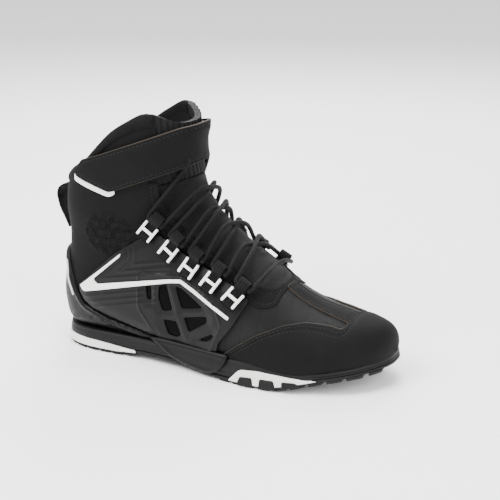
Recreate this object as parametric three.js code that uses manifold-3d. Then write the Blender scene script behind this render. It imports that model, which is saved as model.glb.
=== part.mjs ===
// A lace-up ankle riding boot for the right foot, in millimetres, +Z up.
//
// Pattern coordinates: x runs forward from the back of the heel, y runs to the inner side of the
// foot and z runs up from the ground. The finished group is moved so that the origin is on the
// ground under the middle of the heel.
//
// The foot shape is one lofted surface, the last. Every upper piece is a layer between two offsets
// of that surface, cut by flat-drawn pattern outlines.
import * as THREE from "three";
import { mergeVertices } from "three/addons/utils/BufferGeometryUtils.js";
import Module from "manifold-3d";

// ---------- driving dimensions ----------
const BOOT_LENGTH = 304;
const COLLAR_HEIGHT = 217;
const BALL_WIDTH = 109;
const HEEL_CENTRE = 48;
const JOINT_GAP = 0.3;

const UPPER_THICKNESS = 2.2;
const LINING_OUTSIDE = -3.9;
const LINING_INSIDE = -6.5;
const STIFFENER_OUTSIDE = -2.5;
const STIFFENER_INSIDE = -3.6;
const TONGUE_OUTSIDE = -0.6;
const TONGUE_INSIDE = -6.2;
const TRIM_INSIDE = 0.3;
const EYESTAY_OUTSIDE = 0.9;
const TOE_CAP_OUTSIDE = 1.5;
const PANEL_INSIDE = 1.2;
const PANEL_OUTSIDE = 3.0;
const COUNTER_OUTSIDE = 3.0;
const COLLAR_OUTSIDE = 0.9;
const COLLAR_BAND = 13;

const OUTSOLE_THICKNESS = 4.5;
const TREAD_DEPTH = 2.5;
const INSERT_DEPTH = 4;
const MIDSOLE_INSET = 0.8;
const BOARD_INSET = 9;
const SHANK_THICKNESS = 2;

const STRAP_WIDTH = 32;
const STRAP_TILT = THREE.MathUtils.degToRad(21);
const STRAP_INSIDE = 2.5;
const HOOK_INSIDE = 1.4;
const STRAP_THICKNESS = 2.5;
const STRAP_FRONT_RISE = 5.5;
const STRAP_BEND = 33;
const HINGE_GAP = 0.6;

const WEBBING_WIDTH = 10.5;
const WEBBING_THICKNESS = 2;
const LOOP_HOLE = 3.5;
const LOOP_OUTER = 5.2;
const EYE_LEAD = 3;
const FRAME_BAR = 2;
const FRAME_LENGTH = 14;
const FRAME_SPREAD = 13;
const LACE_RADIUS = 1.9;
const LACE_STEPS = 140;
const PULL_WIDTH = 20;
const SOLE_EDGE_STEPS = 64;

const AROUND = 20;

// The pattern below is drawn for these sizes and graded to the driving dimensions.
const gradeX = BOOT_LENGTH / 304;
const gradeY = BALL_WIDTH / 109;
const gradeZ = COLLAR_HEIGHT / 217;

// ---------- solids ----------
const wasm = await Module();
wasm.setup();

/** A closed three.js geometry as a solid that can be joined and cut. */
function solid(geometry) {
  const bare = geometry.clone();
  bare.deleteAttribute("normal");
  bare.deleteAttribute("uv");
  const merged = mergeVertices(bare, 1e-4);
  return new wasm.Manifold(new wasm.Mesh({
    numProp: 3,
    vertProperties: new Float32Array(merged.attributes.position.array),
    triVerts: new Uint32Array(merged.index.array),
  }));
}

/** The largest connected body of a solid: cuts can leave loose slivers, which are dropped. */
function mainBody(cut) {
  const bodies = cut.decompose();
  return bodies.reduce((best, body) => (body.volume() > best.volume() ? body : best));
}

/** Outline points [a, b] or [a, b, radius]: a point with a radius becomes a round corner. */
function outlineShape(points) {
  const shape = new THREE.Shape();
  points.forEach(([a, b, radius = 0], i) => {
    const corner = new THREE.Vector2(a, b);
    const towards = ([c, d]) => new THREE.Vector2(c, d).sub(corner).setLength(radius).add(corner);
    const start = radius ? towards(points.at(i - 1)) : corner;
    if (i) shape.lineTo(start.x, start.y);
    else shape.moveTo(start.x, start.y);
    if (radius) {
      const end = towards(points[(i + 1) % points.length]);
      shape.quadraticCurveTo(a, b, end.x, end.y);
    }
  });
  shape.closePath();
  return shape;
}

/** Move every edge of an outline outward by a gap (inward when the gap is negative). */
function grow(points, gap) {
  const area = points.reduce((sum, [a, b], i) => {
    const [c, d] = points[(i + 1) % points.length];
    return sum + a * d - b * c;
  }, 0);
  const side = Math.sign(area) * gap;
  return points.map(([a, b, ...radius], i) => {
    const [pa, pb] = points.at(i - 1);
    const [na, nb] = points[(i + 1) % points.length];
    const before = new THREE.Vector2(b - pb, pa - a).normalize();
    const after = new THREE.Vector2(nb - b, a - na).normalize();
    const mitre = before.clone().add(after).normalize();
    const reach = side / Math.max(0.5, mitre.dot(before));
    return [a + mitre.x * reach, b + mitre.y * reach, ...radius];
  });
}

const graded = (points) => points.map(([x, z, ...radius]) => [x * gradeX, z * gradeZ, ...radius]);

/** A side-view outline (x, z) pushed through from y0 to y1. */
function sideCut(points, y0 = -90, y1 = 90) {
  const geometry = new THREE.ExtrudeGeometry(outlineShape(points),
    { depth: y1 - y0, bevelEnabled: false, curveSegments: 3 });
  geometry.rotateX(Math.PI / 2).translate(0, y1, 0);
  return solid(geometry);
}

/** A plan outline (x, y) raised from z0 to z1. */
function planCut(points, z0, z1) {
  const geometry = new THREE.ExtrudeGeometry(outlineShape(points),
    { depth: z1 - z0, bevelEnabled: false, curveSegments: 3 });
  geometry.translate(0, 0, z0);
  return solid(geometry);
}

function box(x0, x1, y0, y1, z0, z1) {
  const geometry = new THREE.BoxGeometry(x1 - x0, y1 - y0, z1 - z0);
  geometry.translate((x0 + x1) / 2, (y0 + y1) / 2, (z0 + z1) / 2);
  return solid(geometry);
}

// ---------- the last ----------
// Sections from the toe tip to above the collar. Each lies in a plane that holds the y direction:
// [top x, top z, bottom x, bottom z, half width, centre y, widest part, fullness below, above].
const SECTIONS = [
  [301, 31, 300, 24, 2, 9, 0.35, 3, 2.2],
  [298.5, 40, 297, 22, 16.5, 8.5, 0.34, 3.2, 2.1],
  [292, 47, 289, 20.5, 27, 6.2, 0.33, 3.6, 2.1],
  [278, 51.5, 276, 19, 37.5, 3.5, 0.32, 4.2, 2.1],
  [258, 56, 256, 16, 46.7, 1.3, 0.3, 4.6, 2.1],
  [234, 63, 236, 12, 50.7, -0.8, 0.3, 4.8, 2.1],
  [212, 75, 216, 12.5, 50.7, -2.3, 0.3, 4.8, 2.1],
  [192, 92, 192, 13, 49.2, -2.7, 0.3, 4.6, 2.1],
  [172, 108, 165, 14.5, 45, -3.5, 0.3, 4.2, 2.15],
  [155, 122, 132, 15.5, 40.5, -3, 0.31, 3.8, 2.2],
  [143, 134, 92, 16, 38.5, -2, 0.33, 3.6, 2.3],
  [136, 145, 48, 16.5, 37, -1, 0.36, 3.4, 2.4],
  [132, 154, 14, 18, 36.5, -0.5, 0.4, 3, 2.4],
  [130, 160, 3, 38, 37, 0, 0.43, 2.6, 2.5],
  [128.5, 167, 3.5, 70, 38, 0, 0.45, 2.4, 2.5],
  [127, 175, 6.5, 98, 39.5, 0, 0.45, 2.4, 2.5],
  [126, 184, 4.5, 124, 41, 0, 0.45, 2.4, 2.5],
  [125, 194, 8, 146, 42, 0, 0.45, 2.4, 2.5],
  [124, 208, 17, 162, 42.5, 0, 0.45, 2.4, 2.5],
  [121, 230, 24, 184, 42.5, 0, 0.45, 2.4, 2.5],
  [120, 242, 24, 196, 42.5, 0, 0.45, 2.4, 2.5],
  [119, 262, 24, 216, 42.5, 0, 0.45, 2.4, 2.5],
];
const COLLAR_END = 20;
const TALL_END = 21;

/** One section value at a fractional station, on a smooth curve through the stations. */
function sectionValue(column, station) {
  const i = Math.min(Math.floor(station), SECTIONS.length - 2);
  const at = (k) => SECTIONS[THREE.MathUtils.clamp(k, 0, SECTIONS.length - 1)][column];
  const [p0, p1, p2, p3] = [at(i - 1), at(i), at(i + 1), at(i + 2)];
  const t = station - i;
  return p1 + 0.5 * t * (p2 - p0 + t * (2 * p0 - 5 * p1 + 4 * p2 - p3 + t * (3 * (p1 - p2) + p3 - p0)));
}

/** A point of the last: angle 0 is the bottom or back, pi is the top or front, +y in between. */
function lastPoint(station, angle, plain = false) {
  const [topX, topZ, lowX, lowZ, half, centre, widest, below, above] =
    SECTIONS[0].map((_, column) => sectionValue(column, station));
  const lower = Math.cos(angle) > 0;
  const power = plain ? 1 : 2 / (lower ? below : above);
  const reach = Math.abs(Math.cos(angle)) ** power;
  const rise = lower ? widest * (1 - reach) : widest + (1 - widest) * reach;
  const side = Math.sign(Math.sin(angle)) * Math.abs(Math.sin(angle)) ** power;
  return new THREE.Vector3(
    gradeX * (lowX + rise * (topX - lowX)),
    gradeY * (centre + half * side),
    gradeZ * (lowZ + rise * (topZ - lowZ)),
  );
}

/** The outward direction at a place of the last, kept smooth across its corners. */
function lastNormal(station, angle) {
  const step = 0.05;
  const s0 = Math.max(0, station - step);
  const s1 = Math.min(TALL_END, station + step);
  const along = lastPoint(s1, angle, true).sub(lastPoint(s0, angle, true));
  const around = lastPoint(station, angle + step, true).sub(lastPoint(station, angle - step, true));
  return along.cross(around).normalize();
}

function skin(station, angle, offset) {
  return lastPoint(station, angle).addScaledVector(lastNormal(station, angle), offset);
}

/** The whole last as a closed solid, moved out by an offset (a number or a function of angle). */
function lastSolid(offset, end = COLLAR_END) {
  const offsetAt = typeof offset === "number" ? () => offset : offset;
  const stations = [0, 0.5, 1, 2, 3, 4, 5, 6, 7, 8, 9, 10, 11, 12, 12.5, 13, 14, 15, 16, 17, 18, 19, 20];
  if (end > COLLAR_END) stations.push(end);
  const position = [];
  for (const station of stations) {
    for (let i = 0; i < AROUND; i += 1) {
      const angle = (i / AROUND) * 2 * Math.PI;
      position.push(...skin(station, angle, offsetAt(angle)));
    }
  }
  const middle = (station) => lastPoint(station, 0).add(lastPoint(station, Math.PI)).multiplyScalar(0.5);
  const tip = middle(0).addScaledVector(middle(0).sub(middle(0.5)).normalize(), offsetAt(0));
  const tipIndex = stations.length * AROUND;
  position.push(...tip, ...middle(end));
  const index = [];
  const lastRing = (stations.length - 1) * AROUND;
  for (let i = 0; i < AROUND; i += 1) {
    const j = (i + 1) % AROUND;
    index.push(tipIndex, i, j, tipIndex + 1, lastRing + j, lastRing + i);
    for (let ring = 0; ring < lastRing; ring += AROUND) {
      const [a, b, c, d] = [ring + i, ring + j, ring + j + AROUND, ring + i + AROUND];
      index.push(a, d, b, b, d, c);
    }
  }
  const geometry = new THREE.BufferGeometry();
  geometry.setAttribute("position", new THREE.Float32BufferAttribute(position, 3));
  geometry.setIndex(index);
  return solid(geometry);
}

/** The shell between two offsets of the last, open at the top. */
function layer(inside, outside) {
  return lastSolid(outside).subtract(lastSolid(inside, TALL_END));
}

// ---------- pattern outlines, side view (x, z) ----------
const THROAT_EDGE = [[210, 76.5], [203, 77], [190, 84.5], [172, 96], [150, 107], [131, 118.5],
  [113, 132, 6], [107, 146], [107, 165], [108, 185], [106, 210], [103, 232]];
const THROAT = graded([...THROAT_EDGE, [103, 270], [210, 270]]);
const RIM = graded([[-20, 147], [18, 161], [40, 173], [67, 199], [99, 217, 10], [124, 205],
  [150, 197], [330, 190]]);
const TONGUE_BREAK = graded([[90, 150], [160, 168], [160, 270], [90, 270]]);
const VAMP_CUT = graded([[140, 112], [118, 10], [118, -10], [330, -10], [330, 112]]);
const TOE_SEAM = graded([[150, 6], [165, 17], [186, 33], [205, 46], [223, 53.5], [239, 54.8], [257, 52.3],
  [268, 49.5], [268, 80], [330, 80], [330, 0], [150, 0]]);
const PANEL = graded([[27, 58], [65, 92.6], [87, 106.6], [104, 114.3, 3], [121, 106.4], [138, 96.8], [160, 89],
  [179, 80], [194, 70.3, 4], [183, 49], [170, 32.6], [164, 12], [119, 12], [111, 22.6], [100, 26.3], [64, 34.5],
  [41.5, 40], [31, 47]]);
const INNER_PANEL = graded([[30, 57], [62, 86], [87, 98], [107, 103, 6], [138, 93], [160, 85], [180, 75, 5],
  [178, 50], [164, 28], [158, 12], [119, 12], [111, 22.6], [64, 35], [33, 47]]);
const PANEL_WINDOWS = [
  [[110.5, 71.2], [117.7, 72.8], [123.8, 52.4], [113.9, 49.7], [109.8, 60.3]],
  [[126, 73.2], [132, 72.2], [154.2, 59.3], [133, 55.2]],
  [[135.3, 47.7], [158.3, 53], [158.3, 48], [140.1, 35.9]],
  [[114.9, 42.6], [127.6, 42.9], [132, 31.6], [126.4, 28.9], [119.1, 29.7]],
  [[149.2, 31], [165.5, 40], [163.5, 35], [157.6, 31.8]],
  [[97, 69.3], [102.3, 69.9], [103, 57.8], [98.6, 57.8]],
].map(graded);
const MESH_AREA = graded([[93, 78], [134, 79], [164, 62], [171, 48], [160, 25.5], [112, 26.5], [93, 50]]);
const CHEVRON = graded([[30.8, 59.7], [72.6, 94.1], [71.9, 91], [44.7, 67.6], [49.4, 63.9], [121, 78.2],
  [132, 79.6], [180.4, 56.6], [179.6, 54], [131.6, 76.6], [121, 75.2], [34.5, 54.7, 2]]);
const COUNTER = graded([[-20, 92], [9, 86], [22, 57], [32.5, 42], [54, 33], [87, 26], [105, 20.5],
  [112, 13], [-20, 13]]);
const REFLECTOR = graded([[11.6, 77], [14, 77.5], [16.6, 62], [23, 48.6], [20.8, 47.4], [14.4, 61]]);
const BACK_STAY = graded([[-20, 90], [12, 92], [24, 120], [24, 158], [-20, 158]]);
const STIFFENER = graded([[-20, 74], [24, 72], [60, 50], [92, 24], [92, -5], [-20, -5]]);
const TOE_PUFF = graded([[226, 30], [232, 70], [330, 70], [330, 32]]);
const STRAP_ORIGIN = new THREE.Vector2(82 * gradeX, 171 * gradeZ);
const LOOP_PLACES = graded([[106, 127], [127, 111.5], [146, 100], [167, 90.5], [187, 79]]);

const OUTER_SIDE = { y0: -90, y1: -JOINT_GAP / 2, sign: -1 };
const INNER_SIDE = { y0: JOINT_GAP / 2, y1: 90, sign: 1 };

// ---------- sole ----------
// Plan stations [x, outer y, inner y] from the heel to the toe.
const SOLE_PLAN = [[-1.5, 0, 0], [1.5, -11, 11], [6, -20, 20], [14, -28.5, 28.5], [28, -34.5, 34], [45, -37, 36],
  [80, -38.5, 36.5], [120, -43, 38], [160, -50, 43], [195, -55, 50], [228, -54.5, 53], [250, -49.5, 51.5],
  [268, -42.5, 47.5], [282, -33, 41.5], [292, -22, 35.5], [299, -11, 27.5], [303, -2, 19], [304, 8.5, 8.5]];
const GROUND = [[-10, 2.5], [4, 1.2], [10, 0], [62, 0], [90, 3.6], [125, 3.6], [158, 0], [215, 0], [228, 2.4],
  [246, 7], [258, 10], [278, 13], [300, 16], [320, 19]];
const FEATHER = [[-10, 19], [40, 18.5], [100, 18.5], [165, 19.5], [197, 21], [256, 19.5], [284, 24],
  [300, 27.5], [320, 32]];
const HEEL_INSERT = graded([[6, 3], [6, 10.5], [45, 9.6], [84, 7], [84, 5], [62, 3]]);
const FORE_INSERT = graded([[179, 2.6], [190, 14], [206, 15.5], [228, 14.5], [246, 12.8], [258, 13], [246, 10],
  [228, 5.6], [215, 2.6]]);

function soleOutline(inset) {
  const outer = SOLE_PLAN.map(([x, y]) => new THREE.Vector3(x * gradeX, y * gradeY));
  const inner = SOLE_PLAN.slice(1, -1).map(([x, , y]) => new THREE.Vector3(x * gradeX, y * gradeY)).reverse();
  const edge = new THREE.CatmullRomCurve3([...outer, ...inner], true, "centripetal");
  return grow(edge.getSpacedPoints(SOLE_EDGE_STEPS).slice(1).map(({ x, y }) => [x, y]), -inset);
}

/** The part of the sole between two side-view lines. */
function soleBetween(lower, upper, inset) {
  const profile = [...lower, ...upper.toReversed()];
  return planCut(soleOutline(inset), -5, 60).intersect(sideCut(profile));
}

const raised = (line, height) => graded(line).map(([x, z]) => [x, z + height]);

/** An insert in the outer sole edge, and the pocket that it sits in. */
function edgeInsert(points, gap) {
  const rim = planCut(soleOutline(-gap), -5, 60).subtract(planCut(soleOutline(INSERT_DEPTH + gap), -6, 61));
  return rim.intersect(sideCut(grow(points, gap), OUTER_SIDE.y0, -8));
}

function treadGrooves() {
  const cuts = [18, 30, 72, 84, 168, 180, 192, 204, 218, 232, 246, 260, 274, 288].map((x) => {
    const width = 3;
    const ground = GROUND.findLast(([at]) => at <= x);
    const next = GROUND.find(([at]) => at > x);
    const z = THREE.MathUtils.mapLinear(x, ground[0], next[0], ground[1], next[1]) * gradeZ;
    return box(x * gradeX, x * gradeX + width, -80, 80, z - 8, z + TREAD_DEPTH);
  });
  return wasm.Manifold.union(cuts);
}

// ---------- materials ----------
const finish = (color, roughness, metalness = 0) => ({ color, roughness, metalness });
const MICROFIBRE = finish(0x2a2a2c, 0.85);
const TEXTILE = finish(0x38383b, 0.95);
const ARMOUR = finish(0x3a3a3e, 0.5);
const WHITE_RUBBER = finish(0xececea, 0.5);
const BLACK_RUBBER = finish(0x1f1f20, 0.75);
const WEBBING = finish(0x2c2c2e, 0.9);
const FOAM = finish(0x4a4a4c, 0.95);
const BOARD = finish(0x8a8172, 0.9);
const STEEL = finish(0x8d9094, 0.35, 0.9);
const GLOSS = finish(0x101012, 0.15);
const REFLECTIVE = finish(0xb4b7ba, 0.3, 0.2);

const boot = new THREE.Group();
boot.position.x = -HEEL_CENTRE * gradeX;

/** Put one solid in the boot as a named mesh with its own material. */
function addPiece(name, body, look) {
  const { vertProperties, triVerts } = mainBody(body).getMesh();
  const geometry = new THREE.BufferGeometry();
  geometry.setAttribute("position", new THREE.Float32BufferAttribute(vertProperties, 3));
  geometry.setIndex(new THREE.Uint32BufferAttribute(triVerts, 1));
  geometry.computeVertexNormals();
  const mesh = new THREE.Mesh(geometry, new THREE.MeshStandardMaterial(look));
  mesh.name = name;
  boot.add(mesh);
  return mesh;
}

// ---------- zones that neighbours are cut by ----------
const throat = (gap) => sideCut(grow(THROAT, gap));
const rimBelow = (drop) => {
  const edge = RIM.map(([x, z, ...radius]) => [x, z - drop, ...radius]);
  return sideCut([...edge, [330, -20], [-20, -20]]);
};
const boardPlan = (gap) => planCut(grow(soleOutline(BOARD_INSET), gap), -10, 40 * gradeZ);
const toeCapZone = (gap) => {
  const strip = graded([[212, -9], [272, -13], [272, 13], [212, 9]]);
  return sideCut(grow(TOE_SEAM, gap)).add(planCut(grow(strip, gap), 45, 90));
};
const onSide = (points, side, gap = 0) => sideCut(grow(points, gap), side.y0, side.y1);
const eyestayZone = (side, gap) => {
  const band = grow(THROAT, 12 + gap);
  const front = sideCut(graded([[100, 60], [212, 60], [212, 140], [100, 156]]));
  return sideCut(band, side.y0, side.y1).intersect(front).subtract(throat(JOINT_GAP - gap));
};

/** Strap coordinates (along, across) as side-view points. */
function onStrap(points) {
  const [cos, sin] = [Math.cos(STRAP_TILT), Math.sin(STRAP_TILT)];
  return points.map(([along, across, ...radius]) => [
    STRAP_ORIGIN.x + along * cos - across * sin,
    STRAP_ORIGIN.y + along * sin + across * cos,
    ...radius,
  ]);
}

// ---------- sub-parts ----------
function addUpper() {
  const shell = layer(-UPPER_THICKNESS, 0).intersect(rimBelow(COLLAR_BAND + JOINT_GAP));
  const upper = shell.subtract(boardPlan(JOINT_GAP)).subtract(throat(JOINT_GAP));
  addPiece("insole_board", shell.intersect(boardPlan(0)), BOARD);
  addPiece("vamp", upper.intersect(sideCut(VAMP_CUT)), TEXTILE);
  const rear = upper.subtract(sideCut(grow(VAMP_CUT, JOINT_GAP)));
  addPiece("quarter_outer", rear.intersect(box(-30, 200, -90, -JOINT_GAP / 2, -10, 260)), MICROFIBRE);
  addPiece("quarter_inner", rear.intersect(box(-30, 200, JOINT_GAP / 2, 90, -10, 260)), MICROFIBRE);
}

function addTongue() {
  const body = layer(TONGUE_INSIDE, TONGUE_OUTSIDE).intersect(rimBelow(0)).intersect(throat(0));
  addPiece("tongue", body.subtract(sideCut(grow(TONGUE_BREAK, JOINT_GAP))), TEXTILE);
  addPiece("tongue_top", body.intersect(sideCut(TONGUE_BREAK)), TEXTILE);
}

function addLining() {
  const body = layer(LINING_INSIDE, LINING_OUTSIDE).intersect(rimBelow(COLLAR_BAND + JOINT_GAP));
  addPiece("lining_bootie", body.subtract(throat(JOINT_GAP)), TEXTILE);
  const padding = layer(LINING_INSIDE, COLLAR_OUTSIDE).intersect(rimBelow(0)).subtract(rimBelow(COLLAR_BAND));
  addPiece("collar_padding", padding.subtract(throat(JOINT_GAP)), TEXTILE);
}

function addStiffeners() {
  const shell = layer(STIFFENER_INSIDE, STIFFENER_OUTSIDE).subtract(lastSolid(LINING_OUTSIDE + JOINT_GAP / 2));
  addPiece("toe_puff", shell.intersect(sideCut(TOE_PUFF)).subtract(throat(JOINT_GAP)), FOAM);
  addPiece("heel_stiffener", shell.intersect(sideCut(STIFFENER)).intersect(box(-30, 200, -90, 90, 22, 100)), FOAM);
  const cupRadius = 19;
  const cup = new THREE.CylinderGeometry(cupRadius, cupRadius, 180, 20);
  cup.translate(59 * gradeX, 0, 106 * gradeZ);
  const cups = shell.intersect(solid(cup));
  addPiece("ankle_cup_outer", cups.intersect(box(0, 150, -90, -5, 0, 200)), FOAM);
  addPiece("ankle_cup_inner", cups.intersect(box(0, 150, 5, 90, 0, 200)), FOAM);
}

function addOverlays() {
  const panelOuter = (gap) => onSide(PANEL, OUTER_SIDE, gap);
  const panelInner = (gap) => onSide(INNER_PANEL, INNER_SIDE, gap);
  const aboveSole = box(-40, 400, -90, 90, 13, 300);
  const trim = layer(TRIM_INSIDE, TOE_CAP_OUTSIDE).subtract(boardPlan(JOINT_GAP));
  addPiece("toe_cap", trim.intersect(toeCapZone(0))
    .subtract(panelOuter(JOINT_GAP)).subtract(panelInner(JOINT_GAP)).subtract(throat(1)), MICROFIBRE);
  const stay = sideCut(BACK_STAY, -11, 11).intersect(rimBelow(COLLAR_BAND + JOINT_GAP));
  addPiece("back_stay", trim.intersect(stay), MICROFIBRE);

  const eyestay = layer(TRIM_INSIDE, EYESTAY_OUTSIDE).subtract(toeCapZone(JOINT_GAP));
  addPiece("eyestay_outer", eyestay.intersect(eyestayZone(OUTER_SIDE, 0)), MICROFIBRE);
  addPiece("eyestay_inner", eyestay.intersect(eyestayZone(INNER_SIDE, 0)), MICROFIBRE);

  const mesh = layer(TRIM_INSIDE, EYESTAY_OUTSIDE).intersect(onSide(MESH_AREA, OUTER_SIDE));
  addPiece("vent_mesh_outer", mesh, TEXTILE);

  const armour = layer(PANEL_INSIDE, PANEL_OUTSIDE).intersect(aboveSole).subtract(boardPlan(JOINT_GAP));
  const windows = wasm.Manifold.union(PANEL_WINDOWS.map((points) => onSide(points, OUTER_SIDE)));
  addPiece("side_panel_outer", armour.intersect(panelOuter(0)).subtract(windows), ARMOUR);
  addPiece("side_panel_inner", armour.intersect(panelInner(0)), ARMOUR);
  const stripe = layer(PANEL_OUTSIDE + JOINT_GAP, PANEL_OUTSIDE + 1);
  addPiece("chevron_stripe", stripe.intersect(onSide(CHEVRON, OUTER_SIDE)), WHITE_RUBBER);

  const counter = layer(TRIM_INSIDE, COUNTER_OUTSIDE).intersect(aboveSole).subtract(boardPlan(JOINT_GAP));
  addPiece("heel_counter", counter.intersect(sideCut(COUNTER)), ARMOUR);
  const reflector = layer(COUNTER_OUTSIDE + JOINT_GAP, COUNTER_OUTSIDE + 0.9);
  addPiece("heel_reflector", reflector.intersect(onSide(REFLECTOR, OUTER_SIDE)), REFLECTIVE);
}

function addSole() {
  const heelPocket = edgeInsert(HEEL_INSERT, JOINT_GAP);
  const forePocket = edgeInsert(FORE_INSERT, JOINT_GAP);
  const outsole = soleBetween(graded(GROUND), raised(GROUND, OUTSOLE_THICKNESS), 0);
  addPiece("outsole", outsole.subtract(treadGrooves()).subtract(heelPocket).subtract(forePocket), BLACK_RUBBER);
  addPiece("heel_insert_outer", edgeInsert(HEEL_INSERT, 0), WHITE_RUBBER);
  addPiece("forefoot_insert_outer", edgeInsert(FORE_INSERT, 0), WHITE_RUBBER);

  const shankPlan = graded([[66, -11, 6], [160, -13, 6], [160, 9, 6], [66, 9, 6]]);
  const shankZone = (gap) => planCut(grow(shankPlan, gap), 0, 40);
  addPiece("shank", layer(JOINT_GAP, JOINT_GAP + SHANK_THICKNESS).intersect(shankZone(0)), STEEL);

  // The midsole cup clears each piece of the upper that stands in it by the joint gap.
  const clearances = [
    lastSolid(JOINT_GAP),
    lastSolid(TOE_CAP_OUTSIDE + JOINT_GAP).intersect(toeCapZone(1)),
    lastSolid(COUNTER_OUTSIDE + JOINT_GAP).intersect(sideCut(grow(COUNTER, 1))),
    lastSolid(PANEL_OUTSIDE + JOINT_GAP).intersect(onSide(PANEL, OUTER_SIDE, 1)),
    lastSolid(PANEL_OUTSIDE + JOINT_GAP).intersect(onSide(INNER_PANEL, INNER_SIDE, 1)),
    lastSolid(2 * JOINT_GAP + SHANK_THICKNESS).intersect(shankZone(JOINT_GAP)),
    heelPocket,
    forePocket,
  ];
  const block = soleBetween(raised(GROUND, OUTSOLE_THICKNESS + JOINT_GAP), graded(FEATHER), MIDSOLE_INSET);
  addPiece("midsole", block.subtract(wasm.Manifold.union(clearances)), BLACK_RUBBER);

  const footbedSide = [[-20, 0], [-20, 30], [60, 28.5], [120, 27], [165, 25], [216, 22.5], [240, 24],
    [262, 28], [296, 34], [300, 0]];
  const footbed = lastSolid(LINING_INSIDE - 2 * JOINT_GAP).intersect(sideCut(graded(footbedSide)));
  addPiece("footbed", footbed.intersect(boardPlan(-2)), FOAM);
}

/** The loop place nearest to a side-view point, found on the skin by stepping down to it. */
function findOnSkin([x, z], side) {
  let [station, angle, stepStation, stepAngle] = [9, Math.PI * 0.75, 4, 0.5];
  const miss = (s, a) => {
    const point = lastPoint(s, a);
    return (point.x - x) ** 2 + (point.z - z) ** 2;
  };
  while (stepStation > 1e-4) {
    const trials = [[0, 0], [1, 0], [-1, 0], [0, 1], [0, -1]].map(([ds, da]) => [
      THREE.MathUtils.clamp(station + ds * stepStation, 1, COLLAR_END),
      THREE.MathUtils.clamp(angle + da * stepAngle, Math.PI / 2, Math.PI),
    ]);
    const best = trials.reduce((a, b) => (miss(...b) < miss(...a) ? b : a));
    if (best === trials[0]) [stepStation, stepAngle] = [stepStation / 2, stepAngle / 2];
    [station, angle] = best;
  }
  return { station, angle: side.sign > 0 ? angle : 2 * Math.PI - angle };
}

/** Seats for the lace loops of one side: skin place, height and the local axes there. */
function loopSeats(side) {
  const places = LOOP_PLACES.map((place) => findOnSkin(place, side));
  return places.map(({ station, angle }, i) => {
    const before = places[Math.max(0, i - 1)];
    const after = places[Math.min(places.length - 1, i + 1)];
    const normal = lastNormal(station, angle);
    const along = lastPoint(before.station, before.angle).sub(lastPoint(after.station, after.angle));
    along.addScaledVector(normal, -along.dot(normal)).normalize();
    const pull = new THREE.Vector3().crossVectors(along, normal);
    if (pull.y * side.sign > 0) pull.negate();
    const across = new THREE.Vector3().crossVectors(normal, pull);
    const lift = PANEL_OUTSIDE + JOINT_GAP;
    const basis = new THREE.Matrix4().makeBasis(pull, across, normal);
    return { station, angle, lift, up: along, basis, point: skin(station, angle, lift) };
  });
}

/** Folded webbing: a flat tail with a round eye for the lace, drawn in (pull, normal). */
function webbingGeometry() {
  const shape = new THREE.Shape();
  const joinAngle = Math.PI * 0.82;
  shape.moveTo(-23, 0);
  shape.lineTo(0, 0);
  shape.absarc(0, LOOP_OUTER, LOOP_OUTER, -Math.PI / 2, joinAngle, false);
  shape.lineTo(-8.5, WEBBING_THICKNESS);
  shape.lineTo(-23, WEBBING_THICKNESS);
  shape.closePath();
  const eye = new THREE.Path();
  eye.absarc(0, LOOP_OUTER, LOOP_HOLE, 0, 2 * Math.PI, true);
  shape.holes.push(eye);
  const geometry = new THREE.ExtrudeGeometry(shape,
    { depth: WEBBING_WIDTH, bevelEnabled: false, curveSegments: 6 });
  return geometry.rotateX(Math.PI / 2).translate(0, WEBBING_WIDTH / 2, 0);
}

/** An H-shaped frame that lies over the webbing: two rails and a crossbar. */
function frameGeometry() {
  const rail = FRAME_SPREAD / 2 - FRAME_BAR / 2;
  const out = FRAME_SPREAD / 2 + FRAME_BAR / 2;
  const end = FRAME_LENGTH / 2;
  const bar = FRAME_BAR / 2;
  const half = [[bar, rail], [end, rail], [end, out], [-end, out], [-end, rail], [-bar, rail]];
  const outline = [...half, ...half.map(([a, b]) => [-a, -b])];
  return new THREE.ExtrudeGeometry(outlineShape(outline), { depth: FRAME_BAR, bevelEnabled: false });
}

function addLoops(side, label) {
  const seats = loopSeats(side);
  seats.forEach(({ point, basis }, i) => {
    const place = (mesh, forward, height) => {
      mesh.position.copy(new THREE.Vector3(forward, 0, height).applyMatrix4(basis).add(point));
      mesh.quaternion.setFromRotationMatrix(basis);
    };
    place(addPiece(`webbing_loop_${label}_${i + 1}`, solid(webbingGeometry()), WEBBING), 0, 0);
    const forward = -LOOP_OUTER - FRAME_LENGTH / 2 - 1.5;
    const height = WEBBING_THICKNESS + JOINT_GAP;
    place(addPiece(`lace_frame_${label}_${i + 1}`, solid(frameGeometry()), WHITE_RUBBER), forward, height);
  });
  return seats;
}

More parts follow.
